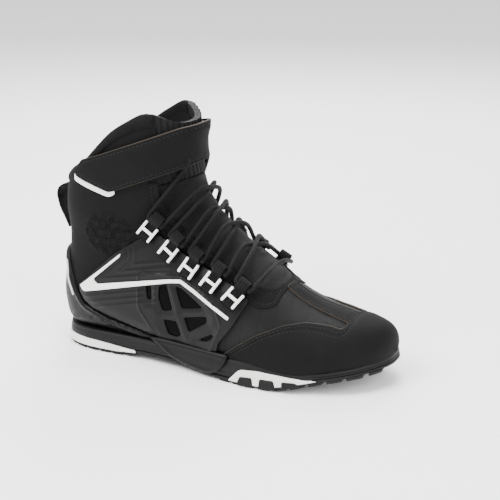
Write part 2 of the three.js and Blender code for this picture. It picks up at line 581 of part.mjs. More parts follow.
/** The lace runs through every eye from top to bottom and back up, crossing over the tongue. */
function addLace(outer, inner) {
  const points = [];
  const eye = ({ point, up, basis }, ends) => {
    const normal = new THREE.Vector3().setFromMatrixColumn(basis, 2);
    const centre = point.clone().addScaledVector(normal, LOOP_OUTER);
    const lead = WEBBING_WIDTH / 2 + EYE_LEAD;
    ends.forEach((end) => points.push(centre.clone().addScaledVector(up, end * lead)));
  };
  const strand = (from, to, heights, forward = 0) => {
    heights.forEach((height, i) => {
      const t = [0.3, 0.5, 0.7][i];
      const station = THREE.MathUtils.lerp(from.station, to.station, t) - forward;
      points.push(skin(station, THREE.MathUtils.lerp(from.angle, to.angle, t), height));
    });
  };
  const through = [1, 0.66, 0, -0.66, -1];
  const over = [7, 7, 7];
  const under = [4.7, 2.6, 4.7];
  const flat = [6, 4.6, 6];
  const tail = (seat, sign) => {
    const lean = [[14.6, 0.17, 2.4], [15.6, 0.14, 2.2], [16.5, 0.12, 2.1]];
    return lean.map(([station, turn, height]) => skin(station, Math.PI + sign * turn * Math.PI, height));
  };
  const start = tail(outer[0], 0.9);
  const finish = tail(inner[0], -0.9);
  points.push(...start.toReversed());
  const across = (row) => (row % 2 ? inner : outer)[row];
  const back = (row) => (row % 2 ? outer : inner)[row];
  for (let row = 0; row < 5; row += 1) {
    eye(across(row), through);
    if (row < 4) strand(across(row), across(row + 1), over);
  }
  strand(across(4), back(4), flat, 0.5);
  for (let row = 4; row >= 0; row -= 1) {
    eye(back(row), through.toReversed());
    if (row) strand(back(row), back(row - 1), under);
  }
  points.push(...finish);
  const route = new THREE.CatmullRomCurve3(points, false, "centripetal");
  const section = new THREE.Shape().absarc(0, 0, LACE_RADIUS, 0, 2 * Math.PI);
  const geometry = new THREE.ExtrudeGeometry(section,
    { extrudePath: route, steps: LACE_STEPS, curveSegments: 4, bevelEnabled: false });
  addPiece("lace", solid(geometry), WEBBING);
  [[points.at(0), points.at(1)], [points.at(-1), points.at(-2)]].forEach(([end, before], i) => {
    const direction = end.clone().sub(before).normalize();
    const length = 14;
    const tip = new THREE.CylinderGeometry(LACE_RADIUS, LACE_RADIUS, length, 10);
    const mesh = addPiece(`aglet_${i + 1}`, solid(tip), GLOSS);
    mesh.position.copy(end).addScaledVector(direction, JOINT_GAP + length / 2);
    mesh.quaternion.setFromUnitVectors(new THREE.Vector3(0, 1, 0), direction);
  });
}

function addStrap() {
  const half = STRAP_WIDTH / 2;
  const rise = (angle) => STRAP_FRONT_RISE * THREE.MathUtils.smoothstep(-Math.cos(angle), 0.72, 1);
  const inside = (angle) => STRAP_INSIDE + rise(angle);
  const outside = (angle) => STRAP_INSIDE + STRAP_THICKNESS + rise(angle);
  const band = lastSolid(outside).subtract(lastSolid(inside, TALL_END));
  const area = (points, y0, y1) => sideCut(onStrap(points), y0, y1);
  const bend = STRAP_BEND - HINGE_GAP;
  const free = [[-38.9, half, 4], [-51, 6, 3], [-24, -half], [bend, -half], [bend, half]];
  const fixed = [[-46, half, 4], [-46, -half, 4], [bend, -half], [bend, half]];
  const front = [[STRAP_BEND, -half], [90, -half], [90, half], [STRAP_BEND, half]];
  addPiece("strap_end", band.intersect(area(free, -90, -2)), MICROFIBRE);
  addPiece("strap_anchor", band.intersect(area(fixed, 2, 90)), MICROFIBRE);
  addPiece("strap_bridge", band.intersect(area(front, -90, 90)), MICROFIBRE);

  const underStrap = layer(HOOK_INSIDE, STRAP_INSIDE - JOINT_GAP);
  const tab = [[-46, 9], [-53, 7, 2], [-55, 2, 3], [-27, -20, 3], [-20, -19, 2], [-20, -13], [-43, 5]];
  addPiece("strap_tab", underStrap.intersect(area(tab, -90, 0)), WHITE_RUBBER);
  const hook = [[-33, 9], [-13, -9, 3], [12, -11, 3], [12, 11, 3], [-30, 11]];
  addPiece("hook_patch", underStrap.intersect(area(hook, -90, 0)), WEBBING);
  const loop = [[-31, 9], [-11, -11, 3], [18, -12, 3], [18, 12, 3], [-28, 12]];
  addPiece("loop_patch", layer(TRIM_INSIDE, HOOK_INSIDE - JOINT_GAP).intersect(area(loop, -90, 0))
    .intersect(rimBelow(COLLAR_BAND + JOINT_GAP)), WEBBING);

  const pad = new THREE.CylinderGeometry(1, 1, 180, 28);
  pad.scale(33 * gradeX, 1, 25 * gradeZ).rotateY(-STRAP_TILT).translate(72 * gradeX, 0, 165 * gradeZ);
  const padZone = solid(pad).intersect(box(0, 200, 3, 90, 0, 260)).intersect(rimBelow(COLLAR_BAND + JOINT_GAP));
  addPiece("flex_panel_inner", layer(TRIM_INSIDE, STRAP_INSIDE - JOINT_GAP).intersect(padZone), GLOSS);
}

function addPullLoop() {
  const outer = graded([[14, 141.7], [2, 140.5, 5], [-9, 132, 6], [-6.2, 118, 6], [2.4, 101]]);
  const inner = graded([[4.6, 101.6], [-4, 118.6, 5], [-6.6, 131, 4], [3, 138.3, 4], [14, 139.6]]);
  const strip = [...outer, ...inner];
  addPiece("pull_loop", sideCut(strip, -PULL_WIDTH / 2, PULL_WIDTH / 2)
    .subtract(lastSolid(TOE_CAP_OUTSIDE + JOINT_GAP)), WEBBING);
}

addUpper();
addTongue();
addLining();
addStiffeners();
addOverlays();
addSole();
const outerSeats = addLoops(OUTER_SIDE, "outer");
const innerSeats = addLoops(INNER_SIDE, "inner");
addLace(outerSeats, innerSeats);
addStrap();
addPullLoop();

export default boot;
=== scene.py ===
"""Looks of a lace-up ankle riding boot for the right foot, laid over its CAD frame.

Pattern coordinates are millimetres: x runs forward from the back of the heel, y runs to the
inner side of the foot and z runs up from the ground. ``to_frame`` turns them into frame metres.
"""
import logging
import math
from collections.abc import Callable, Sequence
from dataclasses import dataclass, field
from enum import Enum

import bmesh
import bpy
import numpy as np
from mathutils import Matrix, Vector


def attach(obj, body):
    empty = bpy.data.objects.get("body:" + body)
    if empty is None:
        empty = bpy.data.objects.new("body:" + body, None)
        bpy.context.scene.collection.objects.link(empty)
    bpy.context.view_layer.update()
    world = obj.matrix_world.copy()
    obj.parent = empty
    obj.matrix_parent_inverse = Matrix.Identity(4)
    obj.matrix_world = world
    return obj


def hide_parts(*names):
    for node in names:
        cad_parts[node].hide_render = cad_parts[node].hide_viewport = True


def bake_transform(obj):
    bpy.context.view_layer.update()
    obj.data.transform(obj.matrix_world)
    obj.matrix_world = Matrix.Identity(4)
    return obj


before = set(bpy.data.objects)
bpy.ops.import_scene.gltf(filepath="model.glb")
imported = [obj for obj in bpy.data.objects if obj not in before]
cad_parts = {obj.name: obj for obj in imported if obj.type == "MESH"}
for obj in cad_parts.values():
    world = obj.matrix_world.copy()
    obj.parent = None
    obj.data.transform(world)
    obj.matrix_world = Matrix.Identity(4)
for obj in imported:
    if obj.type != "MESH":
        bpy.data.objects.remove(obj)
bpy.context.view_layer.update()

LOG = logging.getLogger("boot")
HEEL_CENTRE = 48.0
COLLAR_BAND = 13.0
SEAM_GAP = 0.4
STRAP_ORIGIN = (82.0, 171.0)
STRAP_TILT = math.radians(21)
LACE_RADIUS = 1.9
LOOP_OUTER = 5.2
LOOP_WIDTH = 10.5
THREAD_LENGTH = 2.5
THREAD_PITCH = 3.5
THREAD_WIDTH = 0.84
THREAD_HEIGHT = 0.68
SEAM_CLEARANCE = 1.2
EDGE_SAMPLES = 160
SNAP_ROUNDS = 4
NUDGE = 1e-3
GRADIENT_STEP = 0.04
BUMP_GAIN = 0.004
MOTTLE_SCALE = 0.07
PI = math.pi

# [top x, top z, bottom x, bottom z, half width, centre y, widest part, fullness below, above]
SECTIONS = np.array([
    [301.3, 29, 301.3, 28, 0.3, 9, 0.35, 3, 2.2],
    [298.5, 40, 297, 22, 16.5, 8.5, 0.34, 3.2, 2.1],
    [292, 47, 289, 20.5, 27, 6.2, 0.33, 3.6, 2.1],
    [278, 51.5, 276, 19, 37.5, 3.5, 0.32, 4.2, 2.1],
    [258, 56, 256, 16, 46.7, 1.3, 0.3, 4.6, 2.1],
    [234, 63, 236, 12, 50.7, -0.8, 0.3, 4.8, 2.1],
    [212, 75, 216, 12.5, 50.7, -2.3, 0.3, 4.8, 2.1],
    [192, 92, 192, 13, 49.2, -2.7, 0.3, 4.6, 2.1],
    [172, 108, 165, 14.5, 45, -3.5, 0.3, 4.2, 2.15],
    [155, 122, 132, 15.5, 40.5, -3, 0.31, 3.8, 2.2],
    [143, 134, 92, 16, 38.5, -2, 0.33, 3.6, 2.3],
    [136, 145, 48, 16.5, 37, -1, 0.36, 3.4, 2.4],
    [132, 154, 14, 18, 36.5, -0.5, 0.4, 3, 2.4],
    [130, 160, 3, 38, 37, 0, 0.43, 2.6, 2.5],
    [128.5, 167, 3.5, 70, 38, 0, 0.45, 2.4, 2.5],
    [127, 175, 6.5, 98, 39.5, 0, 0.45, 2.4, 2.5],
    [126, 184, 4.5, 124, 41, 0, 0.45, 2.4, 2.5],
    [125, 194, 8, 146, 42, 0, 0.45, 2.4, 2.5],
    [124, 208, 17, 162, 42.5, 0, 0.45, 2.4, 2.5],
    [121, 230, 24, 184, 42.5, 0, 0.45, 2.4, 2.5],
    [120, 242, 24, 196, 42.5, 0, 0.45, 2.4, 2.5],
    [119, 262, 24, 216, 42.5, 0, 0.45, 2.4, 2.5],
])

# Pattern outlines in the side view (x, z); a third number is the corner's radius.
THROAT = [(210, 76.5), (203, 77), (190, 84.5), (172, 96), (150, 107), (131, 118.5), (113, 132, 6),
          (107, 146), (107, 165), (108, 185), (106, 210), (103, 232), (103, 270), (210, 270)]
RIM = [(-20, 147), (18, 161), (40, 173), (67, 199, 12), (99, 217, 10), (124, 205), (150, 197),
       (330, 190)]
TONGUE_BREAK = [(90, 150), (160, 168), (160, 270), (90, 270)]
VAMP_CUT = [(140, 112), (118, 10), (118, -10), (330, -10), (330, 112)]
TOE_SEAM = [(150, 6), (165, 17), (186, 33), (205, 46), (223, 53.5), (239, 54.8), (257, 52.3),
            (268, 49.5), (268, 80), (330, 80), (330, 0), (150, 0)]
TOE_BAND = [(212, -9), (272, -13), (272, 13), (212, 9)]
PANEL = [(27, 58), (65, 92.6), (87, 106.6), (104, 114.3, 3), (121, 106.4), (138, 96.8), (160, 89),
         (179, 80), (194, 70.3, 3), (183, 49), (170, 32.6), (164, 12), (119, 12), (111, 22.6),
         (100, 26.3), (64, 34.5), (41.5, 40), (31, 47)]
INNER_PANEL = [(30, 57), (62, 86), (87, 98), (107, 103, 6), (138, 93), (160, 85), (180, 75, 5),
               (178, 50), (164, 28), (158, 12), (119, 12), (111, 22.6), (64, 35), (33, 47)]
WINDOWS = [
    [(110.5, 71.2), (117.7, 72.8), (123.8, 52.4), (113.9, 49.7), (109.8, 60.3)],
    [(126, 73.2), (132, 72.2), (154.2, 59.3), (133, 55.2)],
    [(135.3, 47.7), (158.3, 53), (158.3, 48), (140.1, 35.9)],
    [(114.9, 42.6), (127.6, 42.9), (132, 31.6), (126.4, 28.9), (119.1, 29.7)],
    [(149.2, 31), (165.5, 40), (163.5, 35), (157.6, 31.8)],
    [(97, 69.3), (102.3, 69.9), (103, 57.8), (98.6, 57.8)],
]
MESH_AREA = [(93, 78), (134, 79), (164, 62), (171, 48), (160, 25.5), (112, 26.5), (93, 50)]
CHEVRON = [(30.8, 59.7), (72.6, 94.1), (71.9, 91), (44.7, 67.6, 2), (49.4, 63.9), (121, 78.2),
           (132, 79.6), (180.4, 56.6), (179.6, 54), (131.6, 76.6), (121, 75.2), (34.5, 54.7, 2)]
COUNTER = [(-20, 92), (9, 86), (22, 57), (32.5, 42), (54, 33), (87, 26), (105, 20.5), (112, 13),
           (-20, 13)]
REFLECTOR = [(11.6, 77), (14, 77.5), (16.6, 62), (23, 48.6), (20.8, 47.4), (14.4, 61)]
BACK_STAY = [(-20, 90), (12, 92), (24, 120), (24, 158), (-20, 158)]
HEX_CENTRE = (60.0, 110.0)
DOTTED_AREA = [(146, 90), (178, 77), (189, 69), (181, 64), (160, 74), (144, 82)]
LOOP_PLACES = [(106, 127), (127, 111.5), (146, 100), (167, 90.5), (187, 79)]
STRAP_FREE = [(-38.9, 16), (-51, 6, 3), (-24, -16), (60, -16), (60, 16)]
STRAP_FIXED = [(-46, 16, 5), (-46, -16, 5), (60, -16), (60, 16)]
STRAP_FRONT = [(30, -16), (95, -16), (95, 16), (30, 16)]
TAB = [(-46, 9), (-53, 7, 2), (-55, 2, 3), (-27, -20, 3), (-20, -19, 2), (-20, -13), (-43, 5)]
HOOK = [(-33, 9), (-13, -9, 3), (12, -11, 3), (12, 11, 3), (-30, 11)]
HOOK_REST = [(-31, 9), (-11, -11, 3), (18, -12, 3), (18, 12, 3), (-28, 12)]

# The sole: plan stations (x, outer y, inner y) and side-view lines (x, z).
SOLE_PLAN = np.array([
    [-1.5, 0, 0], [1.5, 11, 11], [6, 20, 20], [14, 28.5, 28.5], [28, 34.5, 34], [45, 37, 36],
    [80, 38.5, 36.5], [120, 43, 38], [160, 50, 43], [195, 55, 50], [228, 54.5, 53],
    [250, 49.5, 51.5], [268, 42.5, 47.5], [282, 33, 41.5], [292, 22, 35.5], [299, 11, 27.5],
    [303, 2, 19], [304, -8.5, 8.5]])
GROUND = np.array([[-10, 2.5], [4, 1.2], [10, 0], [62, 0], [90, 3.6], [125, 3.6], [158, 0],
                   [215, 0], [228, 2.4], [246, 7], [258, 10], [278, 13], [300, 16], [320, 19]])
FEATHER = np.array([[-10, 19], [40, 18.5], [100, 18.5], [165, 19.5], [197, 21], [256, 19.5],
                    [284, 24], [300, 27.5], [320, 32]])
FOOTBED_TOP = np.array([[-20, 30], [60, 28.5], [120, 27], [165, 25], [216, 22.5], [240, 24],
                        [262, 28], [296, 34]])
HEEL_INSERT = [(6, 3), (6, 10.5, 3), (45, 9.6), (84, 7), (84, 5), (62, 3)]
FORE_INSERT = [(179, 2.6), (190, 14, 3), (206, 15.5), (228, 14.5), (246, 12.8), (258, 13, 1),
               (246, 10), (228, 5.6), (215, 2.6)]
ARCH_LOBE = [(96, 24), (104, 19.5), (113, 14.5), (121, 9.6), (138, 5.6, 4), (160, 3.2, 6), (171, 9),
             (176, 16), (179, 24)]
INSERT_BLOCKS = [[(188, 1.6), (191, 8.5), (202, 9.5), (203, 1.6)],
                 [(208, 1.6), (209, 9.8), (221, 10), (223, 2.2)],
                 [(228, 3.6), (228, 10.2), (239, 10.4), (243, 7.4)]]
GROOVES = [18, 31, 44, 57, 70, 84, 168, 180, 192, 204, 218, 232, 246, 260, 274, 288, 299]
LUG_ROWS = [(0.0, 0.2), (0.25, 0.47), (0.53, 0.75), (0.8, 1.0)]
OUTSOLE_TOP = 4.6
PULL_LOOP = np.array([[15, 141], [3, 140], [-5, 137.3], [-8, 131.5], [-7.2, 125], [-5.2, 118.3],
                      [-1, 110], [3, 101.5]])


# ---------- finishes ----------
class Pattern(Enum):
    """The structure of a material's surface."""

    GRAIN = "short random nap"
    SMOOTH = "moulded, almost even"
    KNIT = "open knit with small holes"
    RIPSTOP = "woven cloth with a raised grid"
    BRAID = "two sets of crossing strands"
    RIB = "ribs across a woven tape"


@dataclass(frozen=True)
class Finish:
    """One real material and how it was made.

    Attributes:
        name: the material and process.
        colour: sRGB hex of the surface.
        second: sRGB hex of the mottling or of the holes.
        roughness: how rough the surface is.
        pattern: its structure.
        pitch: size of one repeat of the structure, in millimetres.
        bump: height of the structure, in millimetres.
        edge: sRGB hex of a raw cut edge, where it shows.
        sheen: strength of the fuzzy sheen of cloth and nap.
        coat: strength of a clear gloss.
        metallic: 1 for metal.
        specular: strength of the surface reflection, 0.5 for a solid plastic.
    """

    name: str
    colour: str
    second: str
    roughness: float
    pattern: Pattern
    pitch: float
    bump: float
    edge: str = ""
    sheen: float = 0.0
    coat: float = 0.0
    metallic: float = 0.0
    specular: float = 0.5


# Split microfibre, buffed to a matte nap; its cut edges show the undyed tan core.
NUBUCK = Finish("nubuck_microfibre_buffed", "#080808", "#050506", 0.78, Pattern.GRAIN, 0.9, 0.06,
                edge="#332d27", specular=0.12)
# The same microfibre with folded edges, for the parts with no raw edge.
NUBUCK_FOLDED = Finish("nubuck_microfibre_folded", "#080808", "#050506", 0.8, Pattern.GRAIN, 0.9,
                       0.06, specular=0.12)
# Polyamide ripstop, woven and piece-dyed.
RIPSTOP = Finish("polyamide_ripstop_woven", "#0b0b0c", "#040405", 0.62, Pattern.RIPSTOP, 1.7, 0.16,
                 specular=0.2)
# Double-face spacer mesh, warp-knitted.
MESH = Finish("polyester_spacer_mesh_knitted", "#0a0a0b", "#020203", 0.8, Pattern.KNIT, 1.5, 0.35,
              specular=0.14)
# The same spacer mesh with a glossy polyurethane film pressed on, behind the plate's windows.
FILMED_MESH = Finish("spacer_mesh_pu_filmed", "#020203", "#010102", 0.2, Pattern.SMOOTH, 1.5, 0.01,
                     specular=0.03)
# Brushed knit lining.
LINING = Finish("polyester_lining_brushed_knit", "#0c0c0d", "#050506", 0.88, Pattern.KNIT, 1.1,
                0.15, sheen=0.02, specular=0.12)
# Thermoplastic polyurethane, injection moulded in a spark-eroded mould.
ARMOUR = Finish("tpu_graphite_moulded", "#070708", "#050506", 0.4, Pattern.SMOOTH, 0.5, 0.02,
                specular=0.16)
# White thermoplastic polyurethane, injection moulded.
WHITE_TPU = Finish("tpu_white_moulded", "#e9e9e6", "#dededb", 0.42, Pattern.SMOOTH, 0.8, 0.01)
# Carbon-black rubber, compression moulded.
RUBBER = Finish("rubber_black_moulded", "#080809", "#060607", 0.55, Pattern.SMOOTH, 0.7, 0.04,
                specular=0.2)
# White rubber, compression moulded.
WHITE_RUBBER = Finish("rubber_white_moulded", "#dfdfdc", "#d2d2ce", 0.55, Pattern.SMOOTH, 0.9, 0.02)
# Polyurethane-coated cloth, pressed glossy.
GLOSS = Finish("pu_coated_cloth_glossy", "#060607", "#08080a", 0.34, Pattern.GRAIN, 2.2, 0.04,
               coat=0.1, specular=0.25)
# Glass-bead film on cloth.
REFLECTIVE = Finish("glass_bead_film", "#b9bcc0", "#a2a5a9", 0.32, Pattern.SMOOTH, 0.4, 0.01,
                    metallic=0.5)
# Polyester tape, narrow-loom woven.
WEBBING = Finish("polyester_webbing_woven", "#0a0a0b", "#030304", 0.75, Pattern.RIB, 0.9, 0.2,
                 specular=0.16)
# Polyester cord, braided over a core.
BRAID = Finish("polyester_lace_braided", "#0c0c0d", "#020203", 0.66, Pattern.BRAID, 1.1, 0.2,
               specular=0.18)
# Polyester sewing thread, bonded.
THREAD = Finish("polyester_thread_bonded", "#161617", "#101011", 0.6, Pattern.SMOOTH, 0.3, 0.0,
                specular=0.16)
# Acetate film, rolled on hot.
ACETATE = Finish("acetate_film_rolled", "#111113", "#0b0b0c", 0.2, Pattern.SMOOTH, 0.4, 0.0)
# Hook-and-loop tape, woven with cut loops.
HOOK_TAPE = Finish("hook_and_loop_tape", "#19191a", "#0d0d0e", 0.95, Pattern.GRAIN, 0.5, 0.3,
                   sheen=0.3)
# Moulded polyurethane foam.
FOAM = Finish("pu_foam_moulded", "#454548", "#3a3a3d", 0.92, Pattern.GRAIN, 0.6, 0.08)
# Pressed cellulose fibre board.
BOARD = Finish("cellulose_board_pressed", "#8a8172", "#776f62", 0.9, Pattern.GRAIN, 0.8, 0.05)
# Spring steel strip, cold rolled.
STEEL = Finish("spring_steel_cold_rolled", "#8d9094", "#7c7f83", 0.34, Pattern.SMOOTH, 0.6, 0.01,
               metallic=1.0)

HIDDEN_NODES: dict[str, Finish] = {
    "insole_board": BOARD, "shank": STEEL, "toe_puff": FOAM, "heel_stiffener": FOAM,
    "ankle_cup_outer": FOAM, "ankle_cup_inner": FOAM,
}


def linear(hex_colour: str) -> tuple[float, float, float, float]:
    """An sRGB hex colour as linear RGBA."""
    parts = [int(hex_colour[i:i + 2], 16) / 255 for i in (1, 3, 5)]
    return (*[c / 12.92 if c <= 0.04045 else ((c + 0.055) / 1.055) ** 2.4 for c in parts], 1.0)


class MaterialShop:
    """Makes each finish's material once."""

    def __init__(self) -> None:
        """Start with an empty shelf."""
        self.made: dict[str, bpy.types.Material] = {}

    def get(self, finish: Finish) -> bpy.types.Material:
        """The material for a finish.

        Args:
            finish: what it is made of.

        Returns:
            The Blender material, made on first use.
        """
        if finish.name not in self.made:
            self.made[finish.name] = self._make(finish)
        return self.made[finish.name]

    def _make(self, finish: Finish) -> bpy.types.Material:
        """Build a finish's nodes.

        Args:
            finish: what it is made of.

        Returns:
            The new material.
        """
        material = bpy.data.materials.new(finish.name)
        material.use_nodes = True
        tree = material.node_tree
        shader = tree.nodes["Principled BSDF"]

        def add(kind: str, links: dict | None = None, **settings: object) -> bpy.types.Node:
            """Add a node; links maps an input to an output socket or a constant."""
            node = tree.nodes.new(f"ShaderNode{kind}")
            for key, value in settings.items():
                setattr(node, key, value)
            for key, value in (links or {}).items():
                if isinstance(value, bpy.types.NodeSocket):
                    tree.links.new(value, node.inputs[key])
                else:
                    node.inputs[key].default_value = value
            return node

        def mixed(factor: bpy.types.NodeSocket, first: object, second: object) -> bpy.types.NodeSocket:
            """Mix two colours by a factor."""
            return add("Mix", {0: factor, 6: first, 7: second}, data_type="RGBA").outputs[2]

        def maths(operation: str, *values: object) -> bpy.types.NodeSocket:
            """Combine numbers."""
            return add("Math", dict(enumerate(values)), operation=operation).outputs[0]

        def wave(place: bpy.types.NodeSocket, size: float, **settings: object) -> bpy.types.NodeSocket:
            """Even stripes, 0 to 1."""
            return add("TexWave", {"Vector": place, "Scale": size}, **settings).outputs[1]

        for key, value in (("Roughness", finish.roughness), ("Metallic", finish.metallic),
                           ("Sheen Weight", finish.sheen), ("Coat Weight", finish.coat),
                           ("Specular IOR Level", finish.specular)):
            shader.inputs[key].default_value = value
        place = add("TexCoord")
        millimetres = add("VectorMath", {0: place.outputs["Object"], 3: 1000.0}, operation="SCALE")
        millimetres = millimetres.outputs[0]
        flat = place.outputs["UV"]
        mottle = add("TexNoise", {"Vector": millimetres, "Scale": MOTTLE_SCALE, "Detail": 4.0})
        amount = add("MapRange", {0: mottle.outputs[0], 1: 0.35, 2: 0.65, 3: 0.0, 4: 0.7})
        colour = mixed(amount.outputs[0], linear(finish.colour), linear(finish.second))
        scale = 1 / finish.pitch
        height = add("TexNoise", {"Vector": millimetres, "Scale": scale, "Detail": 6.0}).outputs[0]
        if finish.pattern is Pattern.KNIT:
            cells = add("TexVoronoi", {"Vector": flat, "Scale": scale, "Randomness": 0.25})
            height = add("MapRange", {0: cells.outputs[0], 1: 0.12, 2: 0.42}).outputs[0]
            colour = mixed(height, linear(finish.second), colour)
        elif finish.pattern is Pattern.RIPSTOP:
            cells = add("TexBrick", {"Vector": flat, "Scale": scale / 2, "Mortar Size": 0.05,
                                     "Mortar Smooth": 0.6, "Brick Width": 1.1, "Row Height": 0.62})
            weave = wave(flat, scale * 1.6, bands_direction="DIAGONAL")
            height = maths("MULTIPLY_ADD", weave, 0.35, cells.outputs[1])
            colour = mixed(cells.outputs[1], colour, linear(finish.second))
        elif finish.pattern is Pattern.BRAID:
            turned = [add("Mapping", {0: flat, 2: (0, 0, turn)}).outputs[0] for turn in (0.75, -0.75)]
            height = maths("MAXIMUM", *[wave(t, scale / 2.4) for t in turned])
            colour = mixed(height, linear(finish.second), colour)
        elif finish.pattern is Pattern.RIB:
            ribs = wave(flat, scale / 3, bands_direction="Y")
            height = maths("MULTIPLY_ADD", wave(flat, scale / 1.6, bands_direction="X"), 0.4, ribs)
            colour = mixed(ribs, linear(finish.second), colour)
        if finish.edge:
            depth = add("Attribute", attribute_name="depth").outputs["Fac"]
            cut = add("MapRange", {0: depth, 1: 0.3, 2: 0.5, 3: 1.0, 4: 0.0}).outputs[0]
            colour = mixed(cut, colour, linear(finish.edge))
        tree.links.new(colour, shader.inputs["Base Color"])
        if finish.bump:
            bump = add("Bump", {"Height": height, "Distance": finish.bump * BUMP_GAIN, "Strength": 0.8})
            tree.links.new(bump.outputs[0], shader.inputs["Normal"])
        return material


# ---------- surfaces ----------
def between(p0: np.ndarray, p1: np.ndarray, p2: np.ndarray, p3: np.ndarray, t: np.ndarray) -> np.ndarray:
    """Places from p1 to p2 on a smooth curve through four points."""
    return p1 + 0.5 * t * (p2 - p0 + t * (2 * p0 - 5 * p1 + 4 * p2 - p3 + t * (3 * (p1 - p2) + p3 - p0)))


def lengths(path: np.ndarray) -> np.ndarray:
    """Distance along a path at each of its points."""
    return np.concatenate([[0], np.cumsum(np.linalg.norm(np.diff(path, axis=0), axis=1))])


def line(table: np.ndarray, x: np.ndarray) -> np.ndarray:
    """Height of a side-view line at x."""
    return np.interp(x, table[:, 0], table[:, 1])


class Last:
    """The foot shape: one lofted surface, addressed by station and by turn round a section."""

    end = len(SECTIONS) - 1

    def section(self, station: np.ndarray) -> np.ndarray:
        """Section values at fractional stations, on a smooth curve through the table."""
        i = np.clip(np.floor(station).astype(int), 0, self.end - 1)
        rows = (SECTIONS[np.clip(i + k, 0, self.end)] for k in (-1, 0, 1, 2))
        return between(*rows, (station - i)[..., None])

    def point(self, station: np.ndarray, turn: np.ndarray) -> np.ndarray:
        """Points of the surface.

        Args:
            station: place along the foot, 0 at the toe.
            turn: 0 at the bottom or back, pi at the top or front, inner side in between.

        Returns:
            An array of pattern points.
        """
        station, turn = np.broadcast_arrays(np.asarray(station, float), np.asarray(turn, float))
        v = self.section(station)
        c, s = np.cos(turn), np.sin(turn)
        power = np.where(c > 0, v[..., 7], v[..., 8])
        radius = (np.abs(c) ** power + np.abs(s) ** power) ** (-1 / power)
        reach, widest = radius * np.abs(c), v[..., 6]
        rise = np.where(c > 0, widest * (1 - reach), widest + (1 - widest) * reach)
        return np.stack([v[..., 2] + rise * (v[..., 0] - v[..., 2]), v[..., 5] + v[..., 4] * radius * s,
                         v[..., 3] + rise * (v[..., 1] - v[..., 3])], -1)

    def normal(self, station: np.ndarray, turn: np.ndarray) -> np.ndarray:
        """Outward unit directions."""
        station, turn = np.broadcast_arrays(np.asarray(station, float), np.asarray(turn, float))
        ahead = np.minimum(station + GRADIENT_STEP, self.end)
        behind = np.maximum(station - GRADIENT_STEP, 0)
        along = self.point(ahead, turn) - self.point(behind, turn)
        around = self.point(station, turn + GRADIENT_STEP) - self.point(station, turn - GRADIENT_STEP)
        out = np.cross(along, around)
        return out / np.maximum(np.linalg.norm(out, axis=-1, keepdims=True), 1e-9)

    def skin(self, station: np.ndarray, turn: np.ndarray, offset: np.ndarray | float) -> np.ndarray:
        """Points moved out from the surface by an offset."""
        return self.point(station, turn) + self.normal(station, turn) * np.asarray(offset)[..., None]

    def find(self, x: float, z: float, side: int) -> tuple[float, float]:
        """Find a side-view point by steps that halve when no neighbour is nearer.

        Args:
            x: its distance forward.
            z: its height.
            side: +1 for the inner side, -1 for the outer side.

        Returns:
            Its station and turn.
        """
        station, turn, ds, dt = 9.0, PI * 0.75, 4.0, 0.5
        while ds > 1e-3:
            trials = [(min(max(station + a * ds, 0.5), 20), min(max(turn + b * dt, 0.3), PI))
                      for a, b in ((0, 0), (1, 0), (-1, 0), (0, 1), (0, -1))]
            misses = [float(np.hypot(*(self.point(*t)[[0, 2]] - (x, z)))) for t in trials]
            best = int(np.argmin(misses))
            if best == 0:
                ds, dt = ds / 2, dt / 2
            station, turn = trials[best]
        return station, turn if side > 0 else 2 * PI - turn


class SoleWall:
    """The outer face of the sole, addressed by x and by height."""

    def point(self, station: np.ndarray, turn: np.ndarray) -> np.ndarray:
        """Points of the wall."""
        station, turn = np.broadcast_arrays(np.asarray(station, float), np.asarray(turn, float))
        return np.stack([station, -np.interp(station, *SOLE_CURVE), turn], -1)

    def normal(self, station: np.ndarray, turn: np.ndarray) -> np.ndarray:
        """Outward unit directions."""
        slope = (self.point(station + 2, turn) - self.point(station - 2, turn))[..., 1] / 4
        out = np.stack([slope, -np.ones_like(slope), np.zeros_like(slope)], -1)
        return out / np.linalg.norm(out, axis=-1, keepdims=True)


def smooth_curve(points: np.ndarray, steps: int = 8) -> np.ndarray:
    """Draw a smooth curve.

    Args:
        points: what it passes through.
        steps: how many places each span gets.

    Returns:
        The curve's places.
    """
    padded = np.vstack([2 * points[0] - points[1], points, 2 * points[-1] - points[-2]])
    t = np.linspace(0, 1, steps, endpoint=False)[:, None]
    spans = zip(padded, padded[1:], padded[2:], padded[3:])
    return np.vstack([*[between(*span, t) for span in spans], points[-1:]])


_PLAN = smooth_curve(SOLE_PLAN)
SOLE_CURVE = (np.maximum.accumulate(_PLAN[:, 0]), _PLAN[:, 1])


# ---------- zones ----------
def rounded(outline: Sequence[tuple], radius: float = 3.0) -> np.ndarray:
    """Round an outline's corners, each by at most 0.42 of its shorter edge.

    Args:
        outline: its corners; a third number is the corner's own radius.
        radius: the radius of the others.

    Returns:
        The closed curve's points.
    """
    points, out = [np.array(p[:2], float) for p in outline], []
    for i, p in enumerate(points):
        ends = (points[i - 1], points[(i + 1) % len(points)])
        r = outline[i][2] if len(outline[i]) > 2 else radius
        r = min(r, *(0.42 * np.linalg.norm(e - p) for e in ends))
        a, b = (p + (e - p) / max(np.linalg.norm(e - p), 1e-9) * r for e in ends)
        out += [a * (1 - t) ** 2 + 2 * p * t * (1 - t) + b * t * t for t in np.linspace(0, 1, 5)]
    return np.array(out)


